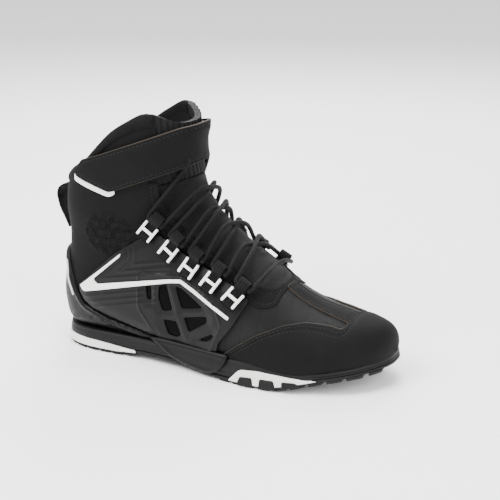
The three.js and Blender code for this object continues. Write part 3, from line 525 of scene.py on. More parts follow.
def outline_distance(points: np.ndarray, outline: np.ndarray) -> np.ndarray:
    """Measure how far points are from a closed outline.

    Args:
        points: flat places.
        outline: the outline's corners.

    Returns:
        The distances, negative inside.
    """
    nearest = np.full(len(points), 1e9)
    inside = np.zeros(len(points), bool)
    for a, b in zip(outline, np.roll(outline, -1, 0)):
        edge, rel = b - a, points - a
        t = np.clip(rel @ edge / max(edge @ edge, 1e-9), 0, 1)
        nearest = np.minimum(nearest, np.hypot(*(rel - t[:, None] * edge).T))
        if a[1] != b[1]:
            crossing = (points[:, 1] < a[1]) != (points[:, 1] < b[1])
            at = a[0] + (points[:, 1] - a[1]) * edge[0] / edge[1]
            inside ^= crossing & (points[:, 0] < at)
    return np.where(inside, -nearest, nearest)


class Zone:
    """A region of a surface, as a signed distance that is negative inside."""

    def __init__(self, distance: Callable[[np.ndarray], np.ndarray]) -> None:
        """Keep the distance function."""
        self.distance = distance

    @classmethod
    def side(cls, outline: Sequence[tuple], radius: float = 3.0) -> "Zone":
        """The inside of a side-view outline."""
        curve = rounded(outline, radius)
        return cls(lambda p: outline_distance(p[:, [0, 2]], curve))

    @classmethod
    def plan(cls, outline: Sequence[tuple], above: float) -> "Zone":
        """The inside of a plan outline, above a height."""
        curve = rounded(outline)
        return cls(lambda p: np.maximum(outline_distance(p[:, :2], curve), above - p[:, 2]))

    @classmethod
    def strap(cls, outline: Sequence[tuple], radius: float = 3.0) -> "Zone":
        """The inside of an outline drawn along and across the strap."""
        curve = rounded(outline, radius)
        return cls(lambda p: outline_distance(np.stack(strap_place(p), -1), curve))

    def __and__(self, other: "Zone") -> "Zone":
        """Inside both."""
        return Zone(lambda p: np.maximum(self.distance(p), other.distance(p)))

    def __or__(self, other: "Zone") -> "Zone":
        """Inside either."""
        return Zone(lambda p: np.minimum(self.distance(p), other.distance(p)))

    def __sub__(self, other: "Zone") -> "Zone":
        """Inside this one and outside the other."""
        return Zone(lambda p: np.maximum(self.distance(p), -other.distance(p)))

    def grown(self, gap: float) -> "Zone":
        """The zone with its border moved out."""
        return Zone(lambda p: self.distance(p) - gap)


def strap_place(p: np.ndarray) -> tuple[np.ndarray, np.ndarray]:
    """Places along and across the strap."""
    x, z = p[:, 0] - STRAP_ORIGIN[0], p[:, 2] - STRAP_ORIGIN[1]
    c, s = math.cos(STRAP_TILT), math.sin(STRAP_TILT)
    return x * c + z * s, z * c - x * s


def rim_below(drop: float) -> Zone:
    """Everything lower than the collar's rim by at least a drop."""
    edge = [(x, z - drop, *r) for x, z, *r in RIM]
    return Zone.side([*edge, (330, -20), (-20, -20)], 8)


OUTER = Zone(lambda p: p[:, 1])
INNER = Zone(lambda p: -p[:, 1])
ABOVE_SOLE = Zone(lambda p: line(FEATHER, p[:, 0]) - 4 - p[:, 2])
IN_THROAT = Zone.side(THROAT, 5)
TOE = Zone.side(TOE_SEAM) | Zone.plan(TOE_BAND, 45)
PANEL_ZONE = Zone.side(PANEL) & OUTER
INNER_PANEL_ZONE = Zone.side(INNER_PANEL, 5) & INNER


# ---------- reliefs: heights in millimetres over a layer ----------
@dataclass(frozen=True)
class Field:
    """Where a relief is asked for.

    Attributes:
        p: places on the surface.
        depth: their distances inside the border.
        u: flat distances along the foot.
        v: flat distances round it.
    """

    p: np.ndarray
    depth: np.ndarray
    u: np.ndarray
    v: np.ndarray

    @property
    def x(self) -> np.ndarray:
        """Distances forward."""
        return self.p[:, 0]

    @property
    def y(self) -> np.ndarray:
        """Distances to the inner side."""
        return self.p[:, 1]

    @property
    def z(self) -> np.ndarray:
        """Heights."""
        return self.p[:, 2]

    def to(self, outline: Sequence[tuple], radius: float = 3.0) -> np.ndarray:
        """Distances to a side-view outline."""
        return outline_distance(self.p[:, [0, 2]], rounded(outline, radius))


Relief = Callable[[Field], np.ndarray]


def wrinkles(p: np.ndarray, size: float, height: float) -> np.ndarray:
    """Make the gentle unevenness of worked cloth.

    Args:
        p: places on the surface.
        size: the waves' length.
        height: their height.

    Returns:
        The heights.
    """
    total = np.zeros(len(p))
    for k, (a, b, c) in enumerate(((1, 0.3, 0.7), (-0.6, 1, 0.4), (0.5, -0.4, 1.1), (1.3, 0.9, -0.5))):
        total += np.sin((p @ np.array([a, b, c])) * 2 * PI / size + 1.7 * k)
    return total * height / 4


def hexagons(x: np.ndarray, z: np.ndarray, pitch: float) -> np.ndarray:
    """Measure how deep places lie inside the cells of a hexagon pattern.

    Args:
        x: their distance along the pattern.
        z: their distance across it.
        pitch: the pattern's repeat.

    Returns:
        Shares of the pitch, 0 on a border.
    """
    p = np.stack([x, z], -1) / pitch
    size = np.array([1, math.sqrt(3)])
    a = np.mod(p, size) - size / 2
    b = np.mod(p - size / 2, size) - size / 2
    g = np.abs(np.where((a * a).sum(-1, keepdims=True) < (b * b).sum(-1, keepdims=True), a, b))
    return 0.5 - np.maximum(g[:, 0] * 0.5 + g[:, 1] * math.sqrt(3) / 2, g[:, 0])


def ridge(distance: np.ndarray, width: float) -> np.ndarray:
    """A soft ridge, 1 on the line and 0 away from it."""
    return np.exp(-(distance / width) ** 2)


def step(low: float, high: float, value: np.ndarray) -> np.ndarray:
    """A smooth step from 0 to 1."""
    t = np.clip((value - low) / (high - low), 0, 1)
    return t * t * (3 - 2 * t)


def quarter_relief(at: Field) -> np.ndarray:
    """Embossed hexagons over the outer ankle bone."""
    x, z = at.x - HEX_CENTRE[0], at.z - HEX_CENTRE[1]
    spot = step(1.0, 0.85, np.hypot(x / 25, z / 21)) * (at.y < 0)
    cells = ridge(hexagons(x, z, 9.0) - 0.11, 0.075)
    bulge = 1.5 * step(1.3, 0.2, np.hypot(x / 30, z / 26))
    return spot * cells * 1.3 + bulge + wrinkles(at.p, 46, 0.25)


def panel_relief(at: Field) -> np.ndarray:
    """Moulded contour lines that echo the stripe, a bevelled edge and a dotted corner."""
    stripe = at.to(CHEVRON, 1)
    spread = step(180, 150, at.x)
    lines = sum(ridge(stripe - d, 0.8) for d in (4.5, 9.5, 14.5)) * (at.x < 122)
    below = ridge(at.to(MESH_AREA) - 2.5, 0.9)
    dots = (np.sin(at.x * 2 * PI / 3) * np.sin(at.z * 2 * PI / 3)) ** 2
    dotted = step(0, -1.5, at.to(DOTTED_AREA))
    slots = ridge(at.depth - 8, 1.7) * ridge(np.mod(at.x, 17) - 8.5, 3.2) * ((at.x > 112) & (at.z > 62))
    swell = 1.3 * step(0, 9, at.depth) - 0.6 * slots
    contours = 0.55 * lines * spread * step(1.5, 3, at.depth) + 0.7 * below * step(1, 2, at.depth)
    return contours + swell - 0.55 * dots * dotted


def inner_panel_relief(at: Field) -> np.ndarray:
    """Moulded ribs inside a bevelled edge."""
    ribs = ridge(np.mod(at.depth, 7) - 3.5, 0.9) * (at.depth > 4)
    return 0.5 * ribs + 0.9 * step(0, 7, at.depth)


def counter_relief(at: Field) -> np.ndarray:
    """A raised rim along the front edge, a hatched field and a row of slots."""
    rim = 1.2 * ridge(at.depth - 2.6, 1.6)
    field_edge = step(7, 9, at.depth)
    hatch = 0.3 * np.sin((at.x * 0.8 + at.z) * 2 * PI / 3.2) * field_edge * (at.z < 56)
    slots = ridge(np.mod(at.x - 34, 12) - 6, 1.6) * ridge(at.z - 31 + 0.1 * (at.x - 40), 1.5)
    slots = slots * ((at.x > 30) & (at.x < 84) & (at.y < 0))
    return rim + hatch - 1.0 * slots + 0.8 * step(4, 16, at.depth)


def tongue_relief(at: Field) -> np.ndarray:
    """Quilting lines across the tongue's padding."""
    quilt = np.abs(np.sin(at.u * PI / 17)) ** 0.5
    return 1.5 * quilt - 0.9 + wrinkles(at.p, 24, 0.3)


def accordion_relief(at: Field) -> np.ndarray:
    """Upright ribs of a stretch panel."""
    return 1.5 * np.abs(np.sin(at.v * PI / 5.2)) ** 0.7 - 0.5


def collar_relief(at: Field) -> np.ndarray:
    """A full, slightly uneven roll."""
    return 1.5 * step(0, 6, at.depth) + wrinkles(at.p, 31, 0.35)


def vamp_relief(at: Field) -> np.ndarray:
    """Cloth pulled over the foot, with faint quilting."""
    return -0.35 * ridge(np.mod(at.u, 15) - 7.5, 1.0) + wrinkles(at.p, 40, 0.3)


def trim_relief(at: Field) -> np.ndarray:
    """A sewn edge: the seam pulls the layer in between the edge and the field."""
    seam = 0.25 * step(0, 1, at.depth) - 0.45 * ridge(at.depth - 3, 1.3) + 0.35 * step(3, 8, at.depth)
    return seam + wrinkles(at.p, 38, 0.2)


def toe_relief(at: Field) -> np.ndarray:
    """A toe cap with a double seam."""
    return 0.3 * step(0, 1, at.depth) - 0.35 * ridge(at.depth - 3.4, 1.9) + 0.4 * step(4, 9, at.depth)


def pad_relief(at: Field) -> np.ndarray:
    """A padded oval with soft cross creases."""
    creases = 0.7 * ridge(np.mod(at.u, 13) - 6.5, 1.2) * step(2, 6, at.depth)
    return 3.2 * np.sqrt(np.clip(at.depth / 13, 0, 1)) - creases


def arch_relief(at: Field) -> np.ndarray:
    """A raised rim, with the top sunk towards the side panel."""
    return -1.5 * step(13, 24, at.z) + 0.6 * ridge(at.depth - 3, 1.1)


def strap_rise(at: Field) -> np.ndarray:
    """The strap bridges the tongue at the front, over the lace."""
    along, across = strap_place(at.p)
    front = step(0.72, 1.0, np.clip((along - 22) / 30, 0, 1)) * step(34, 10, np.abs(at.y))
    edge = 0.7 * step(0, 6, at.depth) - 0.3 * ridge(at.depth - 3, 1.2)
    return 5.5 * front + edge + 0.25 * np.sin(across / 5)


# ---------- modelling ----------
@dataclass(frozen=True)
class Spec:
    """One layer of the boot, cut by its pattern from an offset of a surface.

    Attributes:
        name: the object's name.
        zone: the pattern, whose border gets the edges and seams.
        outside: distance of its outer face from the surface, in millimetres.
        thickness: its thickness.
        finish: what it is made of.
        trim: a further cut whose border has no seam, such as the sole's.
        stations: the stretch of the surface that it can cover.
        turns: the turns that it can cover.
        cell: mesh size, in millimetres.
        lip: radius of its rolled edge.
        full: roll the inner face's edge too, as on a padded piece.
        even: let the inner face follow the outer face's relief.
        relief: height added to the outer face.
        seams: depths of the stitch rows inside the border.
        thread: the thread's finish.
        replaces: the CAD nodes that it stands for.
        slot: the record's material slot.
        body: the CAD body that it rides on, empty for a piece left unattached.
        fill: how full a padded piece is; not used.
    """

    name: str
    zone: Zone
    outside: float
    thickness: float
    finish: Finish
    trim: Zone | None = None
    stations: tuple[float, float] = (0.02, 20.5)
    turns: tuple[float, float] = (0.0, 2 * PI)
    cell: float = 1.5
    lip: float = 0.5
    full: bool = False
    even: bool = False
    relief: Relief | None = None
    seams: tuple[float, ...] = ()
    thread: Finish = THREAD
    replaces: tuple[str, ...] = ()
    slot: str = "nubuck_microfibre"
    body: str = "boot"
    fill: float | None = None


def to_frame(points: np.ndarray) -> np.ndarray:
    """Pattern millimetres to frame metres."""
    return (np.asarray(points) - (HEEL_CENTRE, 0, 0)) * 0.001


def iso_lines(values: np.ndarray, level: float) -> list[np.ndarray]:
    """Lines of equal value on a grid.

    Args:
        values: the grid's values.
        level: the value to follow.

    Returns:
        Chains of fractional grid places.
    """
    high = values > level
    mixed = high[:-1, :-1].astype(int) + high[1:, :-1] + high[:-1, 1:] + high[1:, 1:]
    links: dict[tuple, list[tuple]] = {}
    places: dict[tuple, tuple[float, float]] = {}
    for i, j in np.argwhere((mixed > 0) & (mixed < 4)):
        corners = [(i, j), (i + 1, j), (i + 1, j + 1), (i, j + 1)]
        crossed = []
        for a, b in zip(corners, corners[1:] + corners[:1]):
            if high[a] != high[b]:
                key = (min(a, b), max(a, b))
                t = (level - values[a]) / (values[b] - values[a])
                places[key] = (a[0] + t * (b[0] - a[0]), a[1] + t * (b[1] - a[1]))
                crossed.append(key)
        for a, b in zip(crossed[::2], crossed[1::2]):
            links.setdefault(a, []).append(b)
            links.setdefault(b, []).append(a)
    chains, left = [], set(links)
    for start in sorted(links, key=lambda k: len(links[k])):
        if start not in left:
            continue
        chain, here = [], start
        while here is not None:
            left.discard(here)
            chain.append(places[here])
            here = next((k for k in links[here] if k in left), None)
        chains.append(np.array(chain))
    return [c for c in chains if len(c) > 3]


class Workshop:
    """Builds pieces, hides the CAD nodes that they stand for and attaches them to their bodies."""

    def __init__(self) -> None:
        """Set up the surfaces and the materials."""
        self.last = Last()
        self.wall = SoleWall()
        self.materials = MaterialShop()

    def finish_object(self, name: str, bm: bmesh.types.BMesh, finishes: Sequence[Finish], slot: str,
                      replaces: Sequence[str], body: str | None, sharp: float = 40.0) -> bpy.types.Object:
        """Turn a bmesh in pattern millimetres into a finished piece.

        Args:
            name: the object's name.
            bm: its mesh; layers u and v hold flat millimetres.
            finishes: its materials, by material index.
            slot: the record's material slot; not used.
            replaces: the CAD nodes that it stands for.
            body: the CAD body that it rides on, or None.
            sharp: edges that turn more than this many degrees stay sharp.

        Returns:
            The object.
        """
        limit = math.radians(sharp)
        for f in bm.faces:
            f.smooth = True
        for e in bm.edges:
            e.smooth = len(e.link_faces) == 2 and e.calc_face_angle(0) < limit
        mesh = bpy.data.meshes.new(name)
        bm.to_mesh(mesh)
        bm.free()
        co = np.empty(len(mesh.vertices) * 3)
        mesh.vertices.foreach_get("co", co)
        mesh.vertices.foreach_set("co", to_frame(co.reshape(-1, 3)).ravel())
        if "u" in mesh.attributes:
            flat = np.empty((len(mesh.vertices), 2))
            for k, key in enumerate(("u", "v")):
                column = np.empty(len(mesh.vertices))
                mesh.attributes[key].data.foreach_get("value", column)
                flat[:, k] = column
            corner = np.empty(len(mesh.loops), int)
            mesh.loops.foreach_get("vertex_index", corner)
            layer = mesh.uv_layers.new(name="UVMap")
            layer.data.foreach_set("uv", flat[corner].ravel())
            for key in ("u", "v"):
                mesh.attributes.remove(mesh.attributes[key])
        for finish in finishes:
            mesh.materials.append(self.materials.get(finish))
        obj = bpy.data.objects.new(name, mesh)
        bpy.context.scene.collection.objects.link(obj)
        if replaces:
            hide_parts(*replaces)
        if body:
            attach(obj, body)
        LOG.info("%s: %d faces", name, len(mesh.polygons))
        return obj

    def layer(self, spec: Spec, surface: Last | SoleWall | None = None) -> bpy.types.Object:
        """Build one layer piece.

        Args:
            spec: what to build.
            surface: the surface that it lies on, the last unless given.

        Returns:
            The object.
        """
        surface = surface or self.last
        s_fine, t_fine = (np.linspace(*reach, EDGE_SAMPLES) for reach in (spec.stations, spec.turns))
        p = surface.point(s_fine[:, None], t_fine[None, :])
        along = np.linalg.norm(np.diff(p, axis=0), axis=2).max(1)
        around = np.linalg.norm(np.diff(p, axis=1), axis=2).mean(0)
        s_len, t_len = (np.concatenate([[0], np.cumsum(a)]) for a in (along, around))
        rows, cols = (max(6, int(a[-1] / spec.cell)) for a in (s_len, t_len))
        bm = bmesh.new()
        bmesh.ops.create_grid(bm, x_segments=rows, y_segments=cols, size=1.0)
        co = np.array([v.co[:2] for v in bm.verts])
        xs, i = np.unique(np.round(co[:, 0], 5), return_inverse=True)
        ys, j = np.unique(np.round(co[:, 1], 5), return_inverse=True)
        s_axis = np.interp((xs + 1) / 2 * s_len[-1], s_len, s_fine)
        t_axis = np.interp((ys + 1) / 2 * t_len[-1], t_len, t_fine)
        grid = surface.point(s_axis[:, None], t_axis[None, :])
        flat = grid.reshape(-1, 3)
        shape = grid.shape[:2]
        depth = -spec.zone.distance(flat).reshape(shape)
        mask = -depth if spec.trim is None else np.maximum(-depth, spec.trim.distance(flat).reshape(shape))
        u = np.zeros(shape)
        v = np.zeros(shape)
        u[1:] = np.cumsum(np.linalg.norm(np.diff(grid, axis=0), axis=2), axis=0)
        v[:, 1:] = np.cumsum(np.linalg.norm(np.diff(grid, axis=1), axis=2), axis=1)
        v -= v[:, [shape[1] // 2]]
        station, turn, out = s_axis[i], t_axis[j], mask[i, j]
        edge = self._snap(spec, surface, bm, station, turn, out)
        p = surface.point(station, turn)
        depth_at = np.maximum(depth[i, j], 0)
        depth_at[edge] = np.maximum(-spec.zone.distance(p[edge]), 0)
        self._place(spec, surface, bm, station, turn, depth_at, u[i, j], v[i, j])
        if spec.seams:
            self._sew(spec, surface, bm, s_axis, t_axis, depth)
        obj = self.finish_object(spec.name, bm, (spec.finish, spec.thread), spec.slot, spec.replaces,
                                 spec.body or None)
        return obj

    def _snap(self, spec: Spec, surface: Last | SoleWall, bm: bmesh.types.BMesh, station: np.ndarray,
              turn: np.ndarray, out: np.ndarray) -> np.ndarray:
        """Delete what is outside the pattern and pull the border onto its outline.

        Args:
            spec: the layer.
            surface: what it lies on.
            bm: its flat grid.
            station: each vertex's station, changed on the border.
            turn: each vertex's turn, changed on the border.
            out: each vertex's distance outside the pattern.

        Returns:
            The border's vertices.
        """
        bm.verts.index_update()
        gone = [f for f in bm.faces if all(out[v.index] > 0 for v in f.verts)]
        kept = {v.index for f in bm.faces for v in f.verts if not all(out[w.index] > 0 for w in f.verts)}
        edge = np.array(sorted(k for k in kept if out[k] > 0), int)
        key = bm.verts.layers.int.new("key")
        for v in bm.verts:
            v[key] = v.index
        bmesh.ops.delete(bm, geom=gone, context="FACES")
        bmesh.ops.delete(bm, geom=[v for v in bm.verts if not v.link_faces], context="VERTS")
        whole = spec.zone if spec.trim is None else spec.zone & spec.trim
        s, t = station[edge], turn[edge]
        for _ in range(SNAP_ROUNDS if len(edge) else 0):
            p = surface.point(s, t)
            f = whole.distance(p)
            ps, pt = surface.point(s + NUDGE, t) - p, surface.point(s, t + NUDGE) - p
            ls, lt = (np.maximum(np.linalg.norm(q, axis=1), 1e-7) for q in (ps, pt))
            gs, gt = (whole.distance(p + ps) - f) / ls, (whole.distance(p + pt) - f) / lt
            size = np.clip(f, -2 * spec.cell, 2 * spec.cell) / np.maximum(gs * gs + gt * gt, 0.15)
            s = np.clip(s - size * gs / ls * NUDGE, *spec.stations)
            t = np.clip(t - size * gt / lt * NUDGE, *spec.turns)
        station[edge], turn[edge] = s, t
        return edge

    def _place(self, spec: Spec, surface: Last | SoleWall, bm: bmesh.types.BMesh, station: np.ndarray,
               turn: np.ndarray, depth: np.ndarray, u: np.ndarray, v: np.ndarray) -> None:
        """Give the sheet its thickness, edges and relief.

        Args:
            spec: the layer.
            surface: what it lies on.
            bm: its trimmed sheet.
            station: each vertex's station.
            turn: each vertex's turn.
            depth: its distance inside the border.
            u: its flat distance along the foot.
            v: its flat distance round it.
        """
        key = bm.verts.layers.int["key"]
        layers = [bm.verts.layers.float.new(n) for n in ("depth", "u", "v")]
        fronts = list(bm.verts)
        index = np.array([w[key] for w in fronts])
        new = bmesh.ops.extrude_face_region(bm, geom=list(bm.faces), use_keep_orig=True)
        backs = [g for g in new["geom"] if isinstance(g, bmesh.types.BMVert)]
        back_index = np.array([w[key] for w in backs])
        p, n = surface.point(station, turn), surface.normal(station, turn)
        inset = 1 - np.clip(depth / spec.lip, 0, 1)
        roll = spec.lip * (1 - np.sqrt(np.maximum(1 - inset ** 2, 0)))
        lift = spec.outside - roll + (spec.relief(Field(p, depth, u, v)) if spec.relief else 0)
        base = spec.outside - spec.thickness + (roll if spec.full else 0)
        base = np.minimum(base, lift - 0.05)
        if spec.even:
            base = lift - spec.thickness
        front, back = p + n * lift[:, None], p + n * np.asarray(base)[:, None]
        for verts, order, place in ((fronts, index, front), (backs, back_index, back)):
            for w, k in zip(verts, order):
                w.co = place[k]
                w[layers[0]], w[layers[1]], w[layers[2]] = depth[k], u[k], v[k]
        bmesh.ops.recalc_face_normals(bm, faces=bm.faces)
        bm.verts.layers.int.remove(key)

    def _sew(self, spec: Spec, surface: Last | SoleWall, bm: bmesh.types.BMesh, s_axis: np.ndarray,
             t_axis: np.ndarray, depth: np.ndarray) -> None:
        """Add stitch rows at set depths inside the border.

        Args:
            spec: the layer.
            surface: what it lies on.
            bm: its mesh.
            s_axis: the grid's stations.
            t_axis: the grid's turns.
            depth: distance inside the border over the grid.
        """
        rows, cols = np.arange(len(s_axis)), np.arange(len(t_axis))
        for level in spec.seams:
            for chain in iso_lines(depth, level):
                s, t = np.interp(chain[:, 0], rows, s_axis), np.interp(chain[:, 1], cols, t_axis)
                length = lengths(surface.point(s, t))
                at = np.arange(THREAD_PITCH / 2, length[-1], THREAD_PITCH)
                s, t = np.interp(at, length, s), np.interp(at, length, t)
                if len(at) < 2:
                    continue
                p, n = surface.point(s, t), surface.normal(s, t)
                inside = self._inside(spec, p)
                tangent = np.gradient(p, axis=0)
                d = np.full(len(p), level)
                lift = spec.outside + (spec.relief(Field(p, d, 0 * d, 0 * d)) if spec.relief else 0)
                for k in np.flatnonzero(inside):
                    stitch(bm, p[k] + n[k] * np.broadcast_to(lift, len(p))[k], tangent[k], n[k])

    @staticmethod
    def _inside(spec: Spec, p: np.ndarray) -> np.ndarray:
        """Which points are clear of the edges that have no seam."""
        return np.ones(len(p), bool) if spec.trim is None else spec.trim.distance(p) < -SEAM_CLEARANCE

    def sweep(self, name: str, path: np.ndarray, up: np.ndarray, width: float, height: float,
              finish: Finish, slot: str, replaces: Sequence[str] = (), sides: int = 12, square: float = 2.0,
              bm: bmesh.types.BMesh | None = None) -> bpy.types.Object | None:
        """Sweep a rounded section along a path.

        Args:
            name: the object's name.
            path: the path's points.
            up: the section's height direction at each point.
            width: size across the path.
            height: size along ``up``.
            finish: what it is made of.
            slot: the record's material slot.
            replaces: the CAD nodes that it stands for.
            sides: faces round the section.
            square: 2 for an ellipse, more for a rounded bar.
            bm: a mesh to add to instead of making an object.

        Returns:
            The object, or None if a mesh was given.
        """
        own = bm is None
        bm = bm or bmesh.new()
        layers = [bm.verts.layers.float.get(n) or bm.verts.layers.float.new(n) for n in ("u", "v")]
        tangent = np.gradient(path, axis=0)
        tangent /= np.linalg.norm(tangent, axis=1, keepdims=True)
        side = np.cross(tangent, up)
        side /= np.linalg.norm(side, axis=1, keepdims=True)
        up = np.cross(side, tangent)
        angles = np.linspace(0, 2 * PI, sides, endpoint=False)
        c, s = np.cos(angles), np.sin(angles)
        r = (np.abs(c) ** square + np.abs(s) ** square) ** (-1 / square)
        length = lengths(path)
        ring = bmesh.ops.create_circle(bm, segments=sides, radius=1)["verts"]
        first = ring
        edges = list({e for v in ring for e in v.link_edges})
        for k in range(len(path)):
            if k:
                grown = bmesh.ops.extrude_edge_only(bm, edges=edges)["geom"]
                fresh = {v for v in grown if isinstance(v, bmesh.types.BMVert)}
                ring = [next(e.other_vert(v) for e in v.link_edges if e.other_vert(v) in fresh)
                        for v in ring]
                edges = [e for e in grown
                         if isinstance(e, bmesh.types.BMEdge) and fresh.issuperset(e.verts)]
            for m, v in enumerate(ring):
                v.co = path[k] + side[k] * (c[m] * r[m] * width / 2) + up[k] * (s[m] * r[m] * height / 2)
                v[layers[0]] = float(length[k])
                v[layers[1]] = float(m * (width + height) / sides)
        for loop in (first, ring):
            bmesh.ops.contextual_create(bm, geom=loop)
        bmesh.ops.recalc_face_normals(bm, faces=bm.faces)
        return self.finish_object(name, bm, (finish,), slot, replaces, "boot", 60) if own else None


def stitch(bm: bmesh.types.BMesh, place: np.ndarray, along: np.ndarray, out: np.ndarray) -> None:
    """Add one stitch: a short bead of thread that lies along the seam.

    Args:
        bm: the mesh to add to.
        place: its middle.
        along: the seam's direction.
        out: the direction away from the cloth.
    """
    x = Vector(along).normalized()
    z = (Vector(out) - x * x.dot(Vector(out))).normalized()
    axes = Matrix((x, z.cross(x), z)).transposed().to_4x4()
    size = Matrix.Diagonal((THREAD_LENGTH / 2, THREAD_WIDTH / 2, THREAD_HEIGHT / 2, 1))
    new = bmesh.ops.create_uvsphere(bm, u_segments=6, v_segments=4, radius=1,
                                    matrix=Matrix.Translation(Vector(place)) @ axes @ size)
    for v in new["verts"]:
        for f in v.link_faces:
            f.material_index = 1


def bar(bm: bmesh.types.BMesh, matrix: Matrix, size: tuple[float, float, float], bevel: float) -> None:
    """Add a bar with rounded edges.

    Args:
        bm: the mesh to add to.
        matrix: its place and turn.
        size: its length, width and height.
        bevel: the rounding's radius.
    """
    new = bmesh.ops.create_cube(bm, size=1, matrix=matrix @ Matrix.Diagonal((*size, 1)))
    edges = list({e for v in new["verts"] for e in v.link_edges})
    bmesh.ops.bevel(bm, geom=edges, offset=bevel, segments=2, profile=0.5, affect="EDGES", material=-1)


# ---------- sub-assemblies ----------
@dataclass
class Upper:
    """The sewn upper: quarters, vamp, toe cap, eyestays, collar, tongue and lining."""

    shop: Workshop
    shell: float = 1.8
    cap: float = 1.2
    tongue: float = 5.0
    tongue_sink: float = -0.8
    collar: float = 7.1
    lining: float = 2.6
    stay_half_width: float = 11.0

    def build(self) -> None:
        """Build every sewn piece."""
        vamp = Zone.side(VAMP_CUT)
        stay = Zone.side(BACK_STAY) & Zone(lambda p: np.abs(p[:, 1]) - self.stay_half_width)
        below = rim_below(COLLAR_BAND)
        band = IN_THROAT.grown(12) & Zone.side([(98, 60), (214, 60), (214, 142), (98, 158)])
        eyestay = band - IN_THROAT.grown(SEAM_GAP)
        toe = TOE - PANEL_ZONE.grown(SEAM_GAP) - INNER_PANEL_ZONE.grown(SEAM_GAP) - IN_THROAT.grown(1)
        specs = [
            Spec("upper_vamp", vamp - IN_THROAT.grown(-3), 0.0, self.shell, RIPSTOP, trim=ABOVE_SOLE,
                 stations=(0.02, 11), relief=vamp_relief, lip=0.1, replaces=("vamp",),
                 slot="ripstop_textile"),
            Spec("upper_quarters", below.grown(3) - vamp.grown(-3) - IN_THROAT, 0.0, self.shell,
                 NUBUCK_FOLDED, trim=ABOVE_SOLE, stations=(7.5, 20.4), turns=(-PI, PI), cell=1.25,
                 relief=quarter_relief, lip=0.4, replaces=("quarter_outer", "quarter_inner")),
            Spec("upper_toe_cap", toe, 1.5, self.cap, NUBUCK, trim=ABOVE_SOLE, stations=(0.02, 10),
                 relief=toe_relief, seams=(2.2, 4.8), replaces=("toe_cap",)),
            Spec("upper_eyestays", eyestay - TOE.grown(-4), 0.9, 0.8, NUBUCK_FOLDED, stations=(5, 18),
                 relief=trim_relief, seams=(2.8,), replaces=("eyestay_outer", "eyestay_inner")),
            Spec("upper_back_stay", stay, 1.6, 1.3, NUBUCK, trim=below, stations=(11, 20),
                 turns=(-1.2, 1.2), relief=trim_relief, seams=(2.4,), replaces=("back_stay",)),
            Spec("upper_tongue", IN_THROAT.grown(3) - Zone.side(TONGUE_BREAK), self.tongue_sink,
                 self.tongue, RIPSTOP, trim=rim_below(0), stations=(5.5, 20.4),
                 turns=(PI / 2, 3 * PI / 2), lip=1.2, relief=tongue_relief, replaces=("tongue",),
                 slot="ripstop_textile", fill=0.5),
            Spec("upper_tongue_top", IN_THROAT.grown(2) & Zone.side(TONGUE_BREAK), self.tongue_sink,
                 self.tongue, RIPSTOP, trim=rim_below(0), stations=(11, 20.8),
                 turns=(PI / 2, 3 * PI / 2), lip=2.0, full=True, cell=1.1, relief=accordion_relief,
                 replaces=("tongue_top",),
                 slot="ripstop_textile", fill=0.6),
            Spec("upper_collar", rim_below(0) - below - IN_THROAT, 0.6, self.collar, MESH,
                 stations=(12, 20.9), turns=(-PI, PI), lip=3.4, full=True, relief=collar_relief,
                 replaces=("collar_padding",), slot="knit_lining", fill=0.8),
            Spec("upper_lining", rim_below(COLLAR_BAND - 3) - IN_THROAT.grown(-2), -3.9, self.lining,
                 LINING, stations=(1, 20.4), turns=(-PI, PI), cell=2.4, lip=1.0,
                 replaces=("lining_bootie",), slot="knit_lining"),
            Spec("upper_vent_mesh", Zone.side(MESH_AREA) & OUTER, 1.1, 0.8, FILMED_MESH, stations=(6, 14.5),
                 turns=(PI, 2 * PI), replaces=("vent_mesh_outer",), slot="ripstop_textile"),
        ]
        for spec in specs:
            self.shop.layer(spec)


